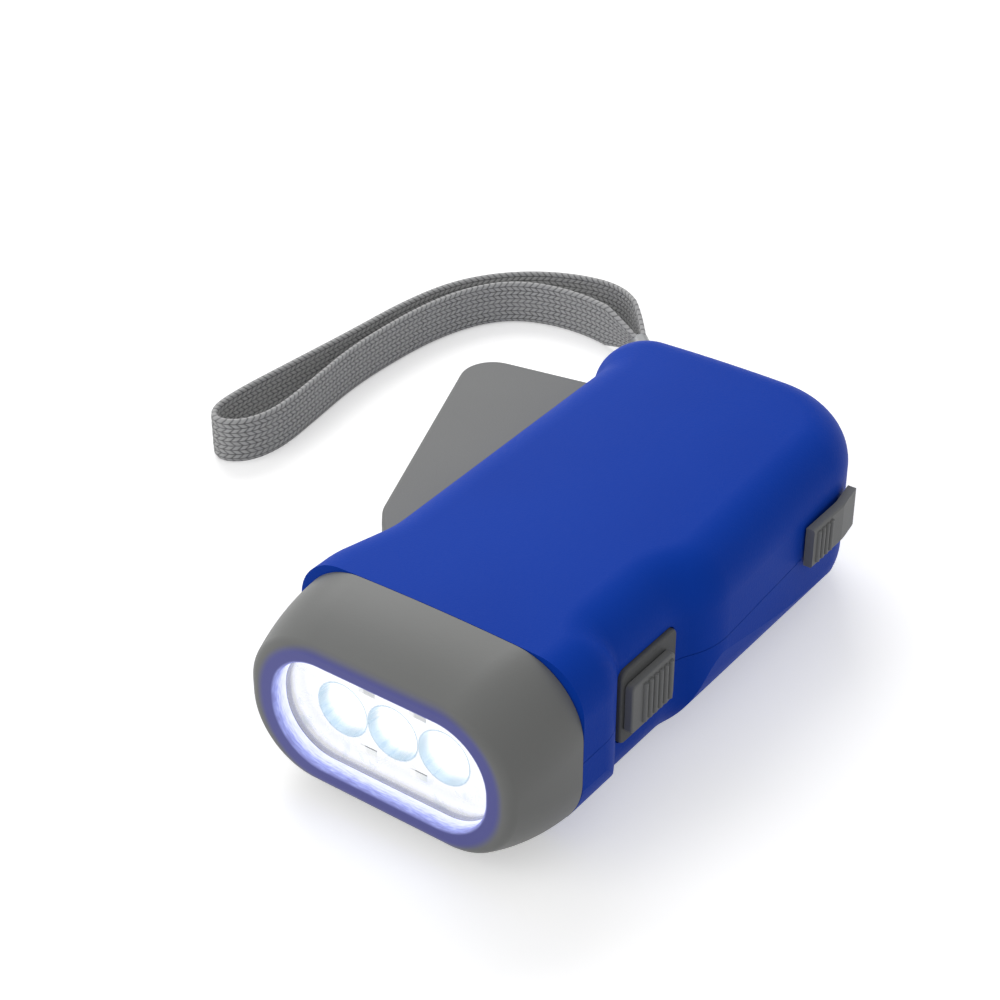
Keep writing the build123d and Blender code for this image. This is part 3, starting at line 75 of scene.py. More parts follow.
# ---------------------------------------------------------------- floor, room and lamps
# A seamless white sweep under soft lamps.  The floor and the room look white to the camera and in
# reflections, while the light they give stays at a plain level and the floor keeps the shadow.
class Finish:
    """The node tree of one material, built from node() calls."""

    def __init__(self, owner):
        owner.use_nodes = True
        self.owner = owner
        self.tree = owner.node_tree
        self.tree.nodes.clear()

    def node(self, kind, settings=None, inputs=None, output=0):
        """Adds a node, sets it up first, fills its sockets, and returns one of its outputs.

        With output None it returns the node, for one that has no output.
        """
        made = self.tree.nodes.new("ShaderNode" + kind)
        for key, value in (settings or {}).items():
            if key == "stops":
                while len(made.color_ramp.elements) < len(value):
                    made.color_ramp.elements.new(0.5)
                for element, (place, colour) in zip(made.color_ramp.elements, value):
                    element.position = place
                    element.color = colour
            else:
                setattr(made, key, value)
        for key, value in (inputs or {}).items():
            if isinstance(value, Number):
                value = value.socket
            if isinstance(value, bpy.types.NodeSocket):
                self.tree.links.new(value, made.inputs[key])
            else:
                made.inputs[key].default_value = value
        return made if output is None else made.outputs[output]

    def number(self, kind, settings=None, inputs=None, output=0):
        return Number(self, self.node(kind, settings, inputs, output))

    def axes(self, vector):
        """The three numbers of a place."""
        return [self.number("SeparateXYZ", inputs={0: vector}, output=axis) for axis in range(3)]

    def mix(self, amount, below, above):
        """One colour over another."""
        return self.node("Mix", {"data_type": "RGBA"}, {0: amount, 6: below, 7: above}, 2)

    def end(self, surface, kind="OutputMaterial"):
        self.node(kind, inputs={"Surface": surface}, output=None)


class Number:
    """A number over the surface; sums, products and comparisons of it add Math nodes."""

    def __init__(self, finish, socket):
        self.finish = finish
        self.socket = socket

    def math(self, operation, *others):
        """A Math node with this number in its first socket."""
        return self.finish.number("Math", {"operation": operation}, dict(enumerate((self, *others))))

    def __add__(self, other):
        return self.math("ADD", other)

    def __sub__(self, other):
        return self.math("SUBTRACT", other)

    def __rsub__(self, other):
        return self.math("MULTIPLY_ADD", -1.0, other)

    def __mul__(self, other):
        return self.math("MULTIPLY", other)

    __radd__ = __add__

    def __truediv__(self, other):
        return self.math("DIVIDE", other)

    def smooth(self, low, high):
        """0 below low, 1 above high, eased between."""
        return self.finish.number("MapRange", {"interpolation_type": "SMOOTHSTEP"},
                                  {0: self, 1: low, 2: high})


def rgb(red, green, blue):
    """A screen colour from 0 to 255 as the linear colour that the shader takes."""
    def linear(value):
        value /= 255
        return value / 12.92 if value <= 0.04045 else ((value + 0.055) / 1.055) ** 2.4
    return (linear(red), linear(green), linear(blue), 1.0)


def seen_directly(finish):
    """1 for rays from the camera, from gloss and through glass, 0 for light on surfaces."""
    camera_ray = finish.number("LightPath", output="Is Camera Ray")
    glossy_ray = finish.number("LightPath", output="Is Glossy Ray")
    glass_ray = finish.number("LightPath", output="Is Transmission Ray")
    return camera_ray.math("MAXIMUM", glossy_ray).math("MAXIMUM", glass_ray)


floor_half = 2.5
floor_drop = 0.0003
floor_bounce = 0.80
floor_albedo_seen = 0.95
floor_lift = 0.42
room_strength = 0.48
floor_mesh = bpy.data.meshes.new("studio_floor")
floor_form = bmesh.new()
bmesh.ops.create_grid(floor_form, x_segments=1, y_segments=1, size=floor_half)
bmesh.ops.translate(floor_form, verts=floor_form.verts, vec=(0, 0, -floor_drop))
floor_form.to_mesh(floor_mesh)
floor_form.free()
floor = bpy.data.objects.new("studio_floor", floor_mesh)
bpy.context.scene.collection.objects.link(floor)
paper = Finish(bpy.data.materials.new("studio_paper"))
paper_matt = paper.node("BsdfDiffuse", inputs={"Color": (floor_bounce, floor_bounce, floor_bounce, 1.0)})
paper_pale = paper.node("BsdfDiffuse", inputs={
    "Color": (floor_albedo_seen, floor_albedo_seen, floor_albedo_seen, 1.0)})
paper_lift = paper.node("Emission", inputs={"Color": (1, 1, 1, 1), "Strength": floor_lift})
paper_seen = paper.node("AddShader", inputs={0: paper_pale, 1: paper_lift})
paper.end(paper.node("MixShader", inputs={0: seen_directly(paper), 1: paper_matt, 2: paper_seen}))
floor.data.materials.append(paper.owner)

world = bpy.data.worlds.new("studio_room")
bpy.context.scene.world = world
room = Finish(world)
room_light = room.node("Background", inputs={"Color": (1, 1, 1, 1), "Strength": room_strength})
room_seen = room.node("Background", inputs={"Color": (1, 1, 1, 1), "Strength": 1.0})
room_mix = room.node("MixShader", inputs={0: seen_directly(room), 1: room_light, 2: room_seen})
room.end(room_mix, "OutputWorld")


def lamp(name, place, size, power):
    """Square soft box that faces the origin."""
    data = bpy.data.lights.new(name, "AREA")
    data.shape = "SQUARE"
    data.size = size
    data.energy = power
    made = bpy.data.objects.new(name, data)
    made.location = place
    made.rotation_mode = "QUATERNION"
    made.rotation_quaternion = Vector(place).to_track_quat("Z", "Y")
    bpy.context.scene.collection.objects.link(made)


lamp("key_softbox", (-0.50, 0.42, 0.62), 0.55, 3.2)
lamp("fill_softbox", (-0.35, -0.70, 0.55), 0.60, 1.7)


# ---------------------------------------------------------------- wrist strap: webbing
# Flat braided polyester webbing, 10 mm wide, with five rows of V stitches.  It is folded to a loop,
# both ends are gathered into the clamp, and it stands on edge on the floor.
webbing_width = 0.010
webbing_thickness = 0.0014
stitch_relief = 0.00026
row_count = 5
row_samples = 3                 # mesh corners across half a row
half_row = webbing_width / (2 * row_count)
webbing_steps = 40              # line points per control point of the route
stitch_pitch = 0.00142
stitch_slant = 0.75
gather_length = 0.010
clamp_height = 0.0034
webbing_route = [
    (-0.0507, 0.0931), (-0.0600, 0.0966), (-0.0725, 0.0974), (-0.0828, 0.0942), (-0.0889, 0.0870),
    (-0.0924, 0.0755), (-0.0935, 0.0620), (-0.0934, 0.0480), (-0.0913, 0.0340), (-0.0896, 0.0215),
    (-0.0912, 0.0136), (-0.0960, 0.0100), (-0.1003, 0.0126), (-0.1009, 0.0210), (-0.0996, 0.0370),
    (-0.0982, 0.0540), (-0.0974, 0.0700), (-0.0950, 0.0835), (-0.0898, 0.0932), (-0.0822, 0.1004),
    (-0.0733, 0.1047), (-0.0640, 0.1060), (-0.0556, 0.1016), (-0.0500, 0.0950),
]


def route_line(name, points, steps):
    """Points read from a NURBS spline that has the route's points as its control points."""
    data = bpy.data.curves.new(name, "CURVE")
    data.dimensions = "3D"
    spline = data.splines.new("NURBS")
    spline.points.add(len(points) - 1)
    for place, point in zip(spline.points, points):
        place.co = (*point, 1.0)
    spline.order_u = 3
    spline.use_endpoint_u = True
    spline.resolution_u = steps
    route = bpy.data.objects.new(name, data)
    bpy.context.scene.collection.objects.link(route)
    bpy.context.view_layer.update()
    line = bpy.data.meshes.new_from_object(route)
    read = [vertex.co.copy() for vertex in line.vertices]
    bpy.data.meshes.remove(line)
    bpy.data.objects.remove(route)
    return read


def run_lengths(points):
    """Distance along a line to each of its points."""
    total = [0.0]
    for before, after in zip(points, points[1:]):
        total.append(total[-1] + (after - before).length)
    return total


def braided(name, points, ring_at):
    """Mesh swept along a line.  ring_at(distance, total) gives a ring's corners as (across, up, lay),
    and lay is kept with the distance in the attribute braid_place for the thread pattern."""
    form = bmesh.new()
    lay_layer = form.verts.layers.float_vector.new("braid_place")
    along = run_lengths(points)
    rings = []
    for index, (point, distance) in enumerate(zip(points, along)):
        ahead = points[min(index + 1, len(points) - 1)] - points[max(index - 1, 0)]
        side = ahead.cross(Vector((0, 0, 1))).normalized()
        over = side.cross(ahead).normalized()
        ring = []
        for across, up, lay in ring_at(distance, along[-1]):
            corner = form.verts.new(point + side * across + over * up)
            corner[lay_layer] = (distance, lay, 0.0)
            ring.append(corner)
        rings.append(ring)
    for first, second in zip(rings, rings[1:]):
        for corner in range(len(first)):
            following = (corner + 1) % len(first)
            form.faces.new((first[corner], first[following], second[following], second[corner]))
    form.faces.new(rings[0])
    form.faces.new(reversed(rings[-1]))
    for face in form.faces:
        face.smooth = True
    bmesh.ops.recalc_face_normals(form, faces=form.faces)
    mesh = bpy.data.meshes.new(name)
    form.to_mesh(mesh)
    form.free()
    made = bpy.data.objects.new(name, mesh)
    bpy.context.scene.collection.objects.link(made)
    return made


def stitch_height(distance, lay):
    """Height of a braid stitch, 0 in the gaps and 1 on its back."""
    row = math.floor(lay / half_row)
    within = lay / half_row - row
    lean = stitch_slant * (1 if row % 2 else -1)
    turn = distance / stitch_pitch + lean * (within - 0.5)
    beside = 2 * abs(turn - math.floor(turn) - 0.5)
    return math.sqrt(max(0.0, 1 - beside ** 2)) * math.sqrt(max(0.0, 1 - 0.75 * (2 * within - 1) ** 2))


lay_count = 2 * row_count * row_samples
webbing_lays = [(index + 0.5) * half_row / row_samples for index in range(lay_count)]


def webbing_ring(distance, total):
    """Ring of the webbing: stitches on both faces, round selvedges, gathered at both ends."""
    gathered = max(0.0, 1.0 - min(distance, total - distance) / gather_length)
    width = webbing_width * (1 - gathered) + clamp_height * gathered
    ring = []
    for side, lays in ((1, webbing_lays), (-1, webbing_lays[::-1])):
        for lay in lays:
            from_middle = 2 * lay / webbing_width - 1
            half_thick = webbing_thickness / 2 - stitch_relief * (1 - stitch_height(distance, lay))
            half_thick *= math.sqrt(max(0.08, 1 - from_middle ** 10))
            ring.append((side * half_thick, from_middle * width / 2, lay))
    return ring


standing_route = [(x, y, webbing_width / 2) for x, y in webbing_route]
webbing_points = route_line("webbing_route", standing_route, webbing_steps)
webbing = braided("wrist_webbing", webbing_points, webbing_ring)

weave = Finish(bpy.data.materials.new("webbing_weave"))
weave_place = weave.node("Attribute", {"attribute_name": "braid_place"}, output=1)
weave_along, weave_lay = weave.axes(weave_place)[:2]
rows = weave_lay / half_row
row = rows.math("FLOOR")
within = rows - row
lean = (row.math("MODULO", 2.0) * 2.0 - 1.0) * stitch_slant
turn = weave_along / stitch_pitch + lean * (within - 0.5)
beside = (turn.math("FRACT") - 0.5).math("ABSOLUTE") * 2.0
across_row = (within * 2.0 - 1.0).math("ABSOLUTE")
thread_height = (1 - beside.smooth(0.5, 1.1)) * (1 - across_row.smooth(0.6, 1.0))
fibres = weave.number("TexNoise", inputs={"Vector": weave_place, "Scale": 4200.0, "Detail": 2.0})
worn = weave.number("TexNoise", inputs={"Vector": weave_place, "Scale": 320.0, "Detail": 2.0})
# Painted shade: the thread is painted darker in the gaps between stitches, where shade falls, and lighter
# on their backs; the lighter patches are wear.
thread = weave.mix(thread_height, rgb(98, 98, 99), rgb(192, 192, 192))
thread = weave.mix(worn.smooth(0.35, 0.7) * 0.3, thread, rgb(176, 176, 177))
weave_height = thread_height + fibres * 0.35
weave_normal = weave.node("Bump", inputs={"Strength": 0.5, "Distance": 0.00012, "Height": weave_height})
weave.end(weave.node("BsdfPrincipled", inputs={
    "Base Color": thread, "Roughness": 0.85 + fibres * 0.1, "Specular IOR Level": 0.25,
    "Sheen Weight": 0.15, "Normal": weave_normal}))
webbing.data.materials.append(weave.owner)
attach(webbing, "casing")
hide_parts("strap_webbing")

# ---------------------------------------------------------------- wrist strap: lead cord
# A braided cord 1.5 mm thick.  Both ends are held in the clamp, and the bight passes through two
# holes in the rear wall.
cord_radius = 0.00075
cord_spread = 0.00087
strand_count = 8
strand_pitch = 0.0042
cord_steps = 16                 # line points per control point of the route
cord_corners = 16
clamp_length = 0.012
clamp_start = Vector((-0.0509, 0.0946, 0.005))
clamp_way = Vector((0.727, -0.687, 0.0))
clamp_side = Vector((0.687, 0.727, 0.0))
clamp_end = clamp_start + clamp_way * clamp_length
cord_route = [
    tuple(clamp_end + clamp_side * cord_spread), (-0.0336, 0.0814, 0.0020), (-0.0245, 0.0760, 0.0012),
    (-0.0150, 0.0716, 0.0026), (-0.0086, 0.0672, 0.0074), (-0.0068, 0.0612, 0.0110),
    (-0.0068, 0.0530, 0.0110), (-0.0112, 0.0530, 0.0110), (-0.0112, 0.0602, 0.0110),
    (-0.0134, 0.0650, 0.0074), (-0.0196, 0.0694, 0.0026), (-0.0272, 0.0736, 0.0012),
    (-0.0360, 0.0796, 0.0020), tuple(clamp_end - clamp_side * cord_spread),
]


def cord_ring(distance, total):
    """Round ring of the cord; lay is the share of a turn, folded so that it has no seam."""
    ring = []
    for step in range(cord_corners):
        turned = step / cord_corners
        angle = 2 * math.pi * turned
        ring.append((cord_radius * math.cos(angle), cord_radius * math.sin(angle), abs(2 * turned - 1)))
    return ring


cord_points = route_line("cord_route", cord_route, cord_steps)
cord = braided("clamp_cord", cord_points, cord_ring)
braid = Finish(bpy.data.materials.new("cord_braid"))
braid_place = braid.node("Attribute", {"attribute_name": "braid_place"}, output=1)
braid_along, braid_lay = braid.axes(braid_place)[:2]
right_hand = (braid_along / strand_pitch + braid_lay) * (strand_count * math.pi / 2)
left_hand = (braid_along / strand_pitch - braid_lay) * (strand_count * math.pi / 2)
strand_height = (right_hand.math("SINE") * left_hand.math("SINE")).math("ABSOLUTE")
# Painted shade: the cord is painted darker between the strands, where shade falls, and lighter on their
# tops.
braid_colour_with_painted_gap_shade = braid.mix(strand_height, rgb(78, 79, 80), rgb(150, 151, 151))
braid_normal = braid.node("Bump", inputs={"Strength": 0.6, "Distance": 0.0002, "Height": strand_height})
braid.end(braid.node("BsdfPrincipled", inputs={
    "Base Color": braid_colour_with_painted_gap_shade, "Roughness": 0.9 - strand_height * 0.15, "Specular IOR Level": 0.25,
    "Normal": braid_normal}))
cord.data.materials.append(braid.owner)
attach(cord, "casing")
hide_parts("strap_cord")


# ---------------------------------------------------------------- wrist strap: clamp
# A short glossy sleeve of grey plastic, pressed flat over the gathered webbing and the cord's ends.
drift_scale = 22.0
grain_scale = 2600.0
grain_height = 0.00012


def dress(finish, *names):
    """Gives CAD nodes a finish."""
    for name in names:
        nodes[name].data.materials.clear()
        nodes[name].data.materials.append(finish.owner)


def moulded(name, colour, shade, roughness, grain=0.10, gloss=0.2):
    """Moulded plastic: a slow drift of tone and a fine grain."""
    made = Finish(bpy.data.materials.new(name))
    place = made.node("TexCoord", output=3)
    drift = made.number("TexNoise", inputs={"Vector": place, "Scale": drift_scale, "Detail": 2.0})
    fine = made.number("TexNoise", inputs={"Vector": place, "Scale": grain_scale, "Detail": 2.0})
    tone = made.mix(drift.smooth(0.3, 0.7) * 0.6, colour, shade)
    normal = made.node("Bump", inputs={"Strength": grain, "Distance": grain_height, "Height": fine})
    made.end(made.node("BsdfPrincipled", inputs={
        "Base Color": tone, "Roughness": fine * 0.08 + (roughness - 0.04),
        "Specular IOR Level": gloss, "Normal": normal}))
    return made


dress(moulded("clamp_gloss", rgb(150, 152, 154), rgb(140, 142, 144), 0.22, 0.02, 0.5), "strap_crimp")

# ---------------------------------------------------------------- housing shells
# Two injection-moulded shells in saturated blue ABS with a satin, finely grained face.  The joint
# runs round the middle, and four screws from below hold the shells together.
dress(moulded("blue_satin", rgb(14, 66, 180), rgb(12, 61, 171), 0.48, 0.35, 0.04),
      "upper_shell", "lower_shell")

# ---------------------------------------------------------------- lamp hood
# A grey ABS cap over the spigot of the shells.  The lit lamp's light is painted on it: the
# window's recess pale with bright streaks and the front ring violet-blue, in colour and as a glow.
lamp_z = sum(corner.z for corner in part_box("lens")) / 2
front_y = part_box("lamp_hood")[0].y
window_half_width = 0.0212
window_half_height = 0.0102
window_corner = 0.0096
# The ring's tint is painted light from the lamp.
ring_width = 0.0020             # the tint is full this far out from the window
ring_fade = 0.0036              # and gone here
recess_depth = 0.0032


def from_window(x, z):
    """Distance outward from the edge of the window, on the front face."""
    beyond_x = (x.math("ABSOLUTE") - (window_half_width - window_corner)).math("MAXIMUM", 0.0)
    beyond_z = (z.math("ABSOLUTE") - (window_half_height - window_corner)).math("MAXIMUM", 0.0)
    return (beyond_x * beyond_x + beyond_z * beyond_z).math("SQRT") - window_corner


hood_finish = Finish(bpy.data.materials.new("hood_satin"))
hood_place = hood_finish.node("TexCoord", output=3)
hood_x, hood_y, hood_z = hood_finish.axes(hood_place)
ring_out = from_window(hood_x, hood_z - lamp_z)
depth = hood_y - front_y
# Painted light: masks of the front ring, painted violet-blue, and of the recess, painted pale.
ring_painted_light_mask = (1 - ring_out.smooth(ring_width, ring_fade)) * (1 - depth.smooth(0.0008, 0.0030))
recess_painted_light_mask = 1 - ring_out.smooth(0.0001, 0.0006)
hood_drift = hood_finish.number("TexNoise", inputs={
    "Vector": hood_place, "Scale": drift_scale, "Detail": 2.0})
hood_fine = hood_finish.number("TexNoise", inputs={
    "Vector": hood_place, "Scale": grain_scale, "Detail": 2.0})
hood_grey = hood_finish.mix(hood_drift.smooth(0.3, 0.7) * 0.6, rgb(122, 123, 122), rgb(114, 115, 113))
hood_grey_with_painted_light = hood_finish.mix(ring_painted_light_mask * 0.85, hood_grey, rgb(72, 74, 136))
hood_grey_with_painted_light = hood_finish.mix(recess_painted_light_mask, hood_grey_with_painted_light, rgb(150, 156, 200))
# Painted light in the recess: streaks, brighter deeper in, and a violet glow on the ring, given off by
# the hood though it is no lamp.
painted_streak_place = hood_finish.node("CombineXYZ", inputs={
    0: hood_x * 260.0, 1: depth * 1500.0, 2: hood_z * 260.0})
painted_streaks = hood_finish.number("TexNoise", inputs={"Vector": painted_streak_place, "Scale": 2.2, "Detail": 3.0})
recess_painted_glow_level = (depth / recess_depth + (painted_streaks - 0.5) * 0.9).math("MAXIMUM", 0.0)
recess_painted_glow = hood_finish.node("ValToRGB", {"stops": (
    (0.0, rgb(66, 64, 136)), (0.25, rgb(120, 128, 188)), (0.6, rgb(204, 208, 236)),
    (1.0, rgb(238, 241, 250)))}, {0: recess_painted_glow_level})
ring_painted_glow = hood_finish.mix(ring_painted_light_mask, (0, 0, 0, 1), rgb(32, 34, 84))
hood_painted_glow = hood_finish.mix(recess_painted_light_mask, ring_painted_glow, recess_painted_glow)
hood_normal = hood_finish.node("Bump", inputs={
    "Strength": 0.12, "Distance": grain_height, "Height": hood_fine})
hood_finish.end(hood_finish.node("BsdfPrincipled", inputs={
    "Base Color": hood_grey_with_painted_light, "Roughness": hood_fine * 0.08 + 0.42, "Specular IOR Level": 0.3,
    "Emission Color": hood_painted_glow, "Emission Strength": 0.9, "Normal": hood_normal}))
dress(hood_finish, "lamp_hood")

# ---------------------------------------------------------------- lens
# A flat window of clear polycarbonate, 1 mm thick, held in the hood by the reflector behind it.
lens_finish = Finish(bpy.data.materials.new("lens_clear"))
lens_place = lens_finish.node("TexCoord", output=3)
lens_x, _, lens_z = lens_finish.axes(lens_place)
lens_edge = from_window(lens_x, lens_z - lamp_z).smooth(-0.0007, 0.0002)
lens_haze = lens_finish.number("TexNoise", inputs={"Vector": lens_place, "Scale": 90.0, "Detail": 2.0})
lens_finish.end(lens_finish.node("BsdfPrincipled", inputs={
    "Base Color": lens_finish.mix(lens_edge, (0.9, 0.94, 1.0, 1.0), rgb(176, 180, 216)),
    "Roughness": lens_haze * 0.04 + 0.03, "Alpha": lens_edge * 0.5 + 0.06,
    "Coat Weight": lens_haze * 0.2 + 0.4, "Coat Roughness": 0.02}))
dress(lens_finish, "lens")

# ---------------------------------------------------------------- reflector
# One metallised moulding with three fluted cups.  The lit lamp's light is painted on it: an almost
# white glow with painted cool blue lines where the cups meet and faint streaks along the flutes.
cup_spacing = 0.0102
cup_radius = 0.0049
throat_radius = 0.0031
mirror = Finish(bpy.data.materials.new("reflector_mirror"))
mirror_place = mirror.node("TexCoord", output=3)
mirror_x, _, mirror_z = mirror.axes(mirror_place)
up_cup = mirror_z - lamp_z
nearest = (mirror_x / cup_spacing).math("MAXIMUM", -1.0).math("MINIMUM", 1.0).math("ROUND")
across_cup = mirror_x - nearest * cup_spacing
from_cup = (across_cup * across_cup + up_cup * up_cup).math("SQRT")
round_cup = up_cup.math("ARCTAN2", across_cup)
flute_place = mirror.node("CombineXYZ", inputs={
    0: round_cup * 3.0, 1: from_cup * 220.0, 2: nearest * 7.0})
flutes = mirror.number("TexNoise", inputs={"Vector": flute_place, "Scale": 1.6, "Detail": 4.0})
# Painted light: cool lines at the cup rims and throats and streaks along the flutes, in the glow and
# darkening the mirror's colour.
rim_painted_line = 1 - (from_cup - cup_radius).math("ABSOLUTE").smooth(0.00005, 0.00042)
throat_painted_line = 1 - (from_cup - throat_radius).math("ABSOLUTE").smooth(0.00005, 0.0004)
painted_cool_lines = rim_painted_line * 0.9 + throat_painted_line * 0.3 + flutes.smooth(0.5, 0.75) * 0.25
painted_mirror_glow = mirror.mix(painted_cool_lines, rgb(252, 252, 252), rgb(128, 168, 192))
mirror.end(mirror.node("BsdfPrincipled", inputs={
    "Base Color": mirror.mix(painted_cool_lines, (0.50, 0.50, 0.50, 1.0), (0.34, 0.38, 0.42, 1.0)),
    "Metallic": 1.0, "Roughness": flutes * 0.2 + 0.16,
    "Emission Color": painted_mirror_glow, "Emission Strength": 0.66}))
dress(mirror, "reflector")

# ---------------------------------------------------------------- LEDs
# Three 5 mm white LEDs in clear epoxy, lit.  The dome is brightest in the middle and cooler at
# the side.
led_bright_radius = 0.0019
led_edge_radius = 0.0026
led_finish = Finish(bpy.data.materials.new("led_epoxy"))
led_place = led_finish.node("TexCoord", output=3)
led_x, _, led_z = led_finish.axes(led_place)
led_nearest = (led_x / cup_spacing).math("ROUND")
led_across = led_x - led_nearest * cup_spacing
led_up = led_z - lamp_z
led_from = (led_across * led_across + led_up * led_up).math("SQRT")
led_ripple = led_finish.number("TexNoise", inputs={"Vector": led_place, "Scale": 900.0, "Detail": 2.0})
led_side = led_from.smooth(led_bright_radius, led_edge_radius) * 0.7 + led_ripple.smooth(0.45, 0.8) * 0.1
led_finish.end(led_finish.node("BsdfPrincipled", inputs={
    "Base Color": (0.95, 0.97, 1.0, 1.0), "Roughness": led_ripple * 0.1 + 0.05,
    "Emission Color": led_finish.mix(led_side, (1, 1, 1, 1), rgb(206, 226, 236)),
    "Emission Strength": 0.9}))
dress(led_finish, "led_left", "led_middle", "led_right")

# ---------------------------------------------------------------- squeeze lever
# A hollow grey ABS lever with a toothed sector.  It turns on a steel pin, and a torsion spring
# swings it out again.  The drawn-steel axle and rotor shaft share the pin's finish.
dress(moulded("lever_satin", rgb(120, 121, 121), rgb(113, 114, 114), 0.5, 0.3, 0.2), "squeeze_lever")


def drawn(name, colour, roughness, scale, along):
    """Drawn, turned or pressed metal with fine lines along one axis."""
    made = Finish(bpy.data.materials.new(name))
    place = made.node("TexCoord", output=3)
    stretched = made.node("Mapping", inputs={"Vector": place, "Scale": along})
    lines = made.number("TexNoise", inputs={"Vector": stretched, "Scale": scale, "Detail": 3.0})
    shade = tuple(0.78 * part for part in colour[:3]) + (1.0,)
    made.end(made.node("BsdfPrincipled", inputs={
        "Base Color": made.mix(lines.smooth(0.3, 0.7), colour, shade), "Metallic": 1.0,
        "Roughness": lines * 0.15 + roughness}))
    return made


dress(drawn("drawn_steel", (0.56, 0.57, 0.58, 1.0), 0.25, 900.0, (1.0, 1.0, 0.05)),
      "lever_pin", "drive_axle", "rotor_shaft")

# ---------------------------------------------------------------- lever spring
# A torsion spring of 0.7 mm hard-drawn wire round the hinge.  One leg stays against a post in the
# housing while the other turns with the lever.  The wire is copied with its doubled corners merged.
spring_finish = drawn("spring_steel", (0.45, 0.45, 0.46, 1.0), 0.3, 1400.0, (1.0, 1.0, 1.0))
merge_distance = 0.000001
spring_form = bmesh.new()
spring_form.from_mesh(nodes["lever_spring"].data)
bmesh.ops.remove_doubles(spring_form, verts=spring_form.verts, dist=merge_distance)
spring_mesh = bpy.data.meshes.new("torsion_spring")
spring_form.to_mesh(spring_mesh)
spring_form.free()
spring = bpy.data.objects.new("torsion_spring", spring_mesh)
bpy.context.scene.collection.objects.link(spring)
spring.data.materials.append(spring_finish.owner)
dress(spring_finish, "lever_spring")
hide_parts("lever_spring")
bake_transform(spring)

# ---------------------------------------------------------------- gear train
# Natural nylon gears: the pinion with its pawls, the large gear with the ratchet inside, and the
# small pinion on the rotor shaft.
nylon = moulded("natural_nylon", rgb(226, 226, 216), rgb(214, 214, 204), 0.45, 0.08, 0.4)
dress(nylon, "drive_pinion", "drive_gear", "rotor_pinion", "rotor_hub", "coil_bobbin")

# ---------------------------------------------------------------- generator
# A sintered ferrite ring turns on brass bushes inside a stack of steel laminations, and the coil
# is wound from enamelled copper wire on a nylon bobbin.
dress(moulded("sintered_ferrite", rgb(64, 64, 66), rgb(52, 52, 54), 0.6, 0.3, 0.4), "rotor_magnet")
dress(drawn("turned_brass", (0.70, 0.50, 0.22, 1.0), 0.25, 900.0, (1.0, 1.0, 0.1)),
      "rotor_bush_lower", "rotor_bush_upper")
lamination = 0.0005
stack = Finish(bpy.data.materials.new("lamination_stack"))
stack_place = stack.node("TexCoord", output=3)
sheet = stack.axes(stack_place)[2] * (2 * math.pi / lamination)
sheet_edge = (sheet.math("SINE") * 0.5 + 0.5).smooth(0.75, 1.0)
stack_mottle = stack.number("TexNoise", inputs={"Vector": stack_place, "Scale": 600.0, "Detail": 3.0})
stack_normal = stack.node("Bump", inputs={"Strength": 0.5, "Distance": 0.0001, "Height": 1 - sheet_edge})
stack.end(stack.node("BsdfPrincipled", inputs={
    "Base Color": stack.mix(sheet_edge, (0.34, 0.34, 0.36, 1.0), (0.10, 0.10, 0.11, 1.0)),
    "Metallic": 0.9, "Roughness": stack_mottle * 0.2 + 0.35, "Normal": stack_normal}))
dress(stack, "stator_core")
turn_pitch = 0.00022
copper = Finish(bpy.data.materials.new("enamelled_copper"))
copper_place = copper.node("TexCoord", output=3)
copper_turn = copper.axes(copper_place)[0] * (2 * math.pi / turn_pitch)
copper_height = copper_turn.math("SINE") * 0.5 + 0.5
copper_drift = copper.number("TexNoise", inputs={"Vector": copper_place, "Scale": 700.0, "Detail": 2.0})
# Painted shade: the winding is painted darker between the turns, where shade falls in the grooves, and
# lighter on their tops.
copper_with_painted_groove_shade = copper.mix(copper_height, (0.30, 0.11, 0.04, 1.0), (0.66, 0.28, 0.11, 1.0))
copper_normal = copper.node("Bump", inputs={"Strength": 0.7, "Distance": 0.0001, "Height": copper_height})
copper.end(copper.node("BsdfPrincipled", inputs={
    "Base Color": copper_with_painted_groove_shade, "Metallic": 0.9, "Roughness": copper_drift * 0.2 + 0.25,
    "Normal": copper_normal}))
dress(copper, "coil_winding")

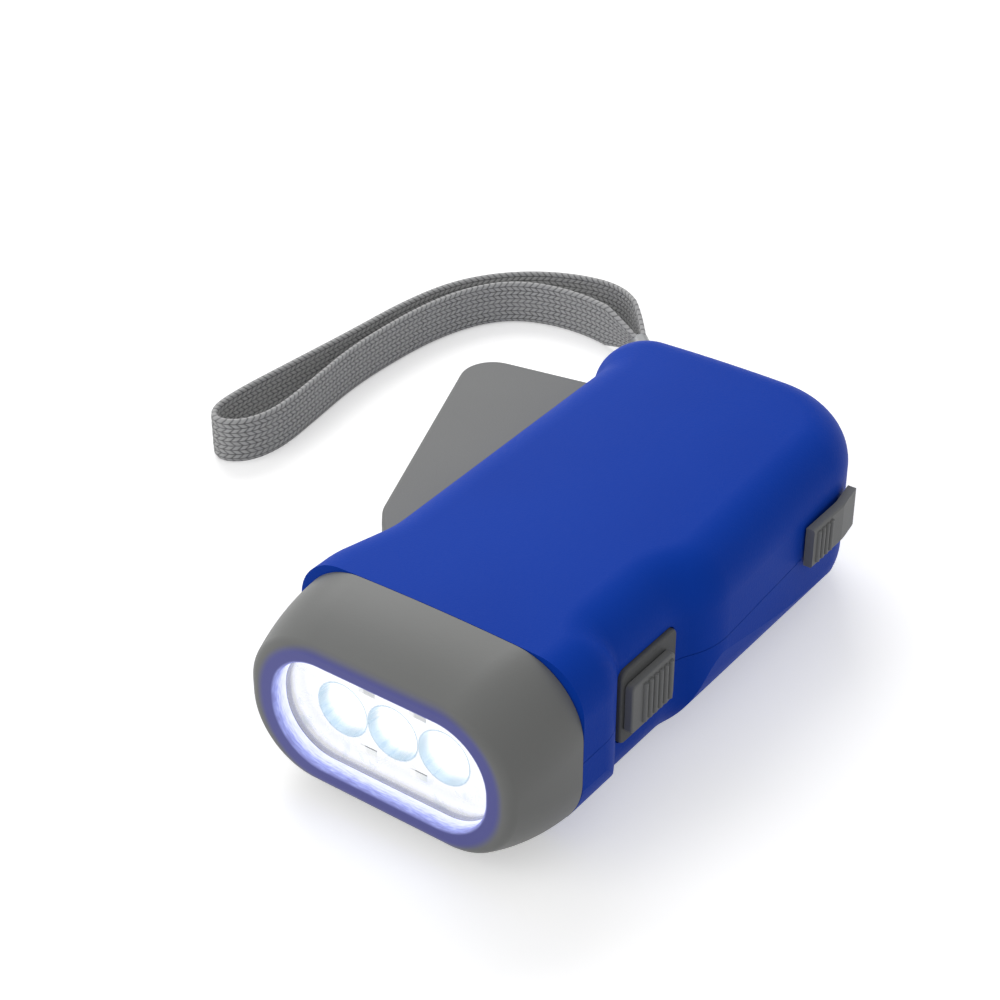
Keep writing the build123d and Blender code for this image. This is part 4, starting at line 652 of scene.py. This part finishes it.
# ---------------------------------------------------------------- boards
# Glass-fibre boards with a green solder mask over etched tracks.
track_pitch = 0.0025
board = Finish(bpy.data.materials.new("board_mask"))
board_place = board.node("TexCoord", output=3)
board_x, _, board_z = board.axes(board_place)
track_phase = (board_x + board_z) / track_pitch
track = 1 - (track_phase.math("FRACT") - 0.5).math("ABSOLUTE").smooth(0.10, 0.16)
board_weave = board.number("TexNoise", inputs={"Vector": board_place, "Scale": 1500.0, "Detail": 2.0})
board_tone = board.mix(track * 0.7 + board_weave * 0.2, rgb(30, 84, 46), rgb(58, 128, 72))
board_normal = board.node("Bump", inputs={"Strength": 0.2, "Distance": 0.00006, "Height": track})
board.end(board.node("BsdfPrincipled", inputs={
    "Base Color": board_tone, "Roughness": board_weave * 0.1 + 0.3, "Normal": board_normal}))
dress(board, "circuit_board", "led_board")
black = moulded("black_moulding", rgb(36, 36, 38), rgb(28, 28, 30), 0.45, 0.12, 0.4)
dress(black, "rectifier_diodes", "cell_holder", "switch_body")
dress(moulded("capacitor_sleeve", rgb(38, 46, 92), rgb(32, 40, 84), 0.25, 0.04, 0.5), "storage_capacitor")

# ---------------------------------------------------------------- cells
# Two button cells in nickel-plated steel cans, stacked in a black holder under a spring contact.
dress(drawn("nickel_plate", (0.66, 0.66, 0.65, 1.0), 0.2, 500.0, (1.0, 1.0, 1.0)),
      "button_cell_lower", "button_cell_upper", "cell_contact")

# ---------------------------------------------------------------- slide switch and lever lock
# Dark grey slides with moulded ribs for the thumb: the switch in its frame in the scoop, and the
# lock near the rear.
dress(moulded("slide_grey", rgb(126, 127, 127), rgb(116, 117, 117), 0.5, 0.3, 0.15),
      "switch_thumb", "lever_lock")
dress(moulded("frame_grey", rgb(94, 95, 95), rgb(86, 87, 87), 0.5, 0.3, 0.12), "switch_plate")

# ---------------------------------------------------------------- screws
# Four self-tapping screws in zinc-plated steel, sunk into the lower shell.
dress(drawn("zinc_plate", (0.62, 0.63, 0.64, 1.0), 0.3, 700.0, (1.0, 1.0, 1.0)), "case_screws")

# ---------------------------------------------------------------- wires
# Thin flexible wires in red and black insulation, from the coil and to the LED board.
dress(moulded("red_insulation", rgb(176, 30, 28), rgb(160, 24, 22), 0.45, 0.05, 0.4),
      "led_wire_positive", "coil_wire_end")
dress(moulded("black_insulation", rgb(34, 34, 36), rgb(28, 28, 30), 0.45, 0.05, 0.4),
      "led_wire_negative", "coil_wire_start")
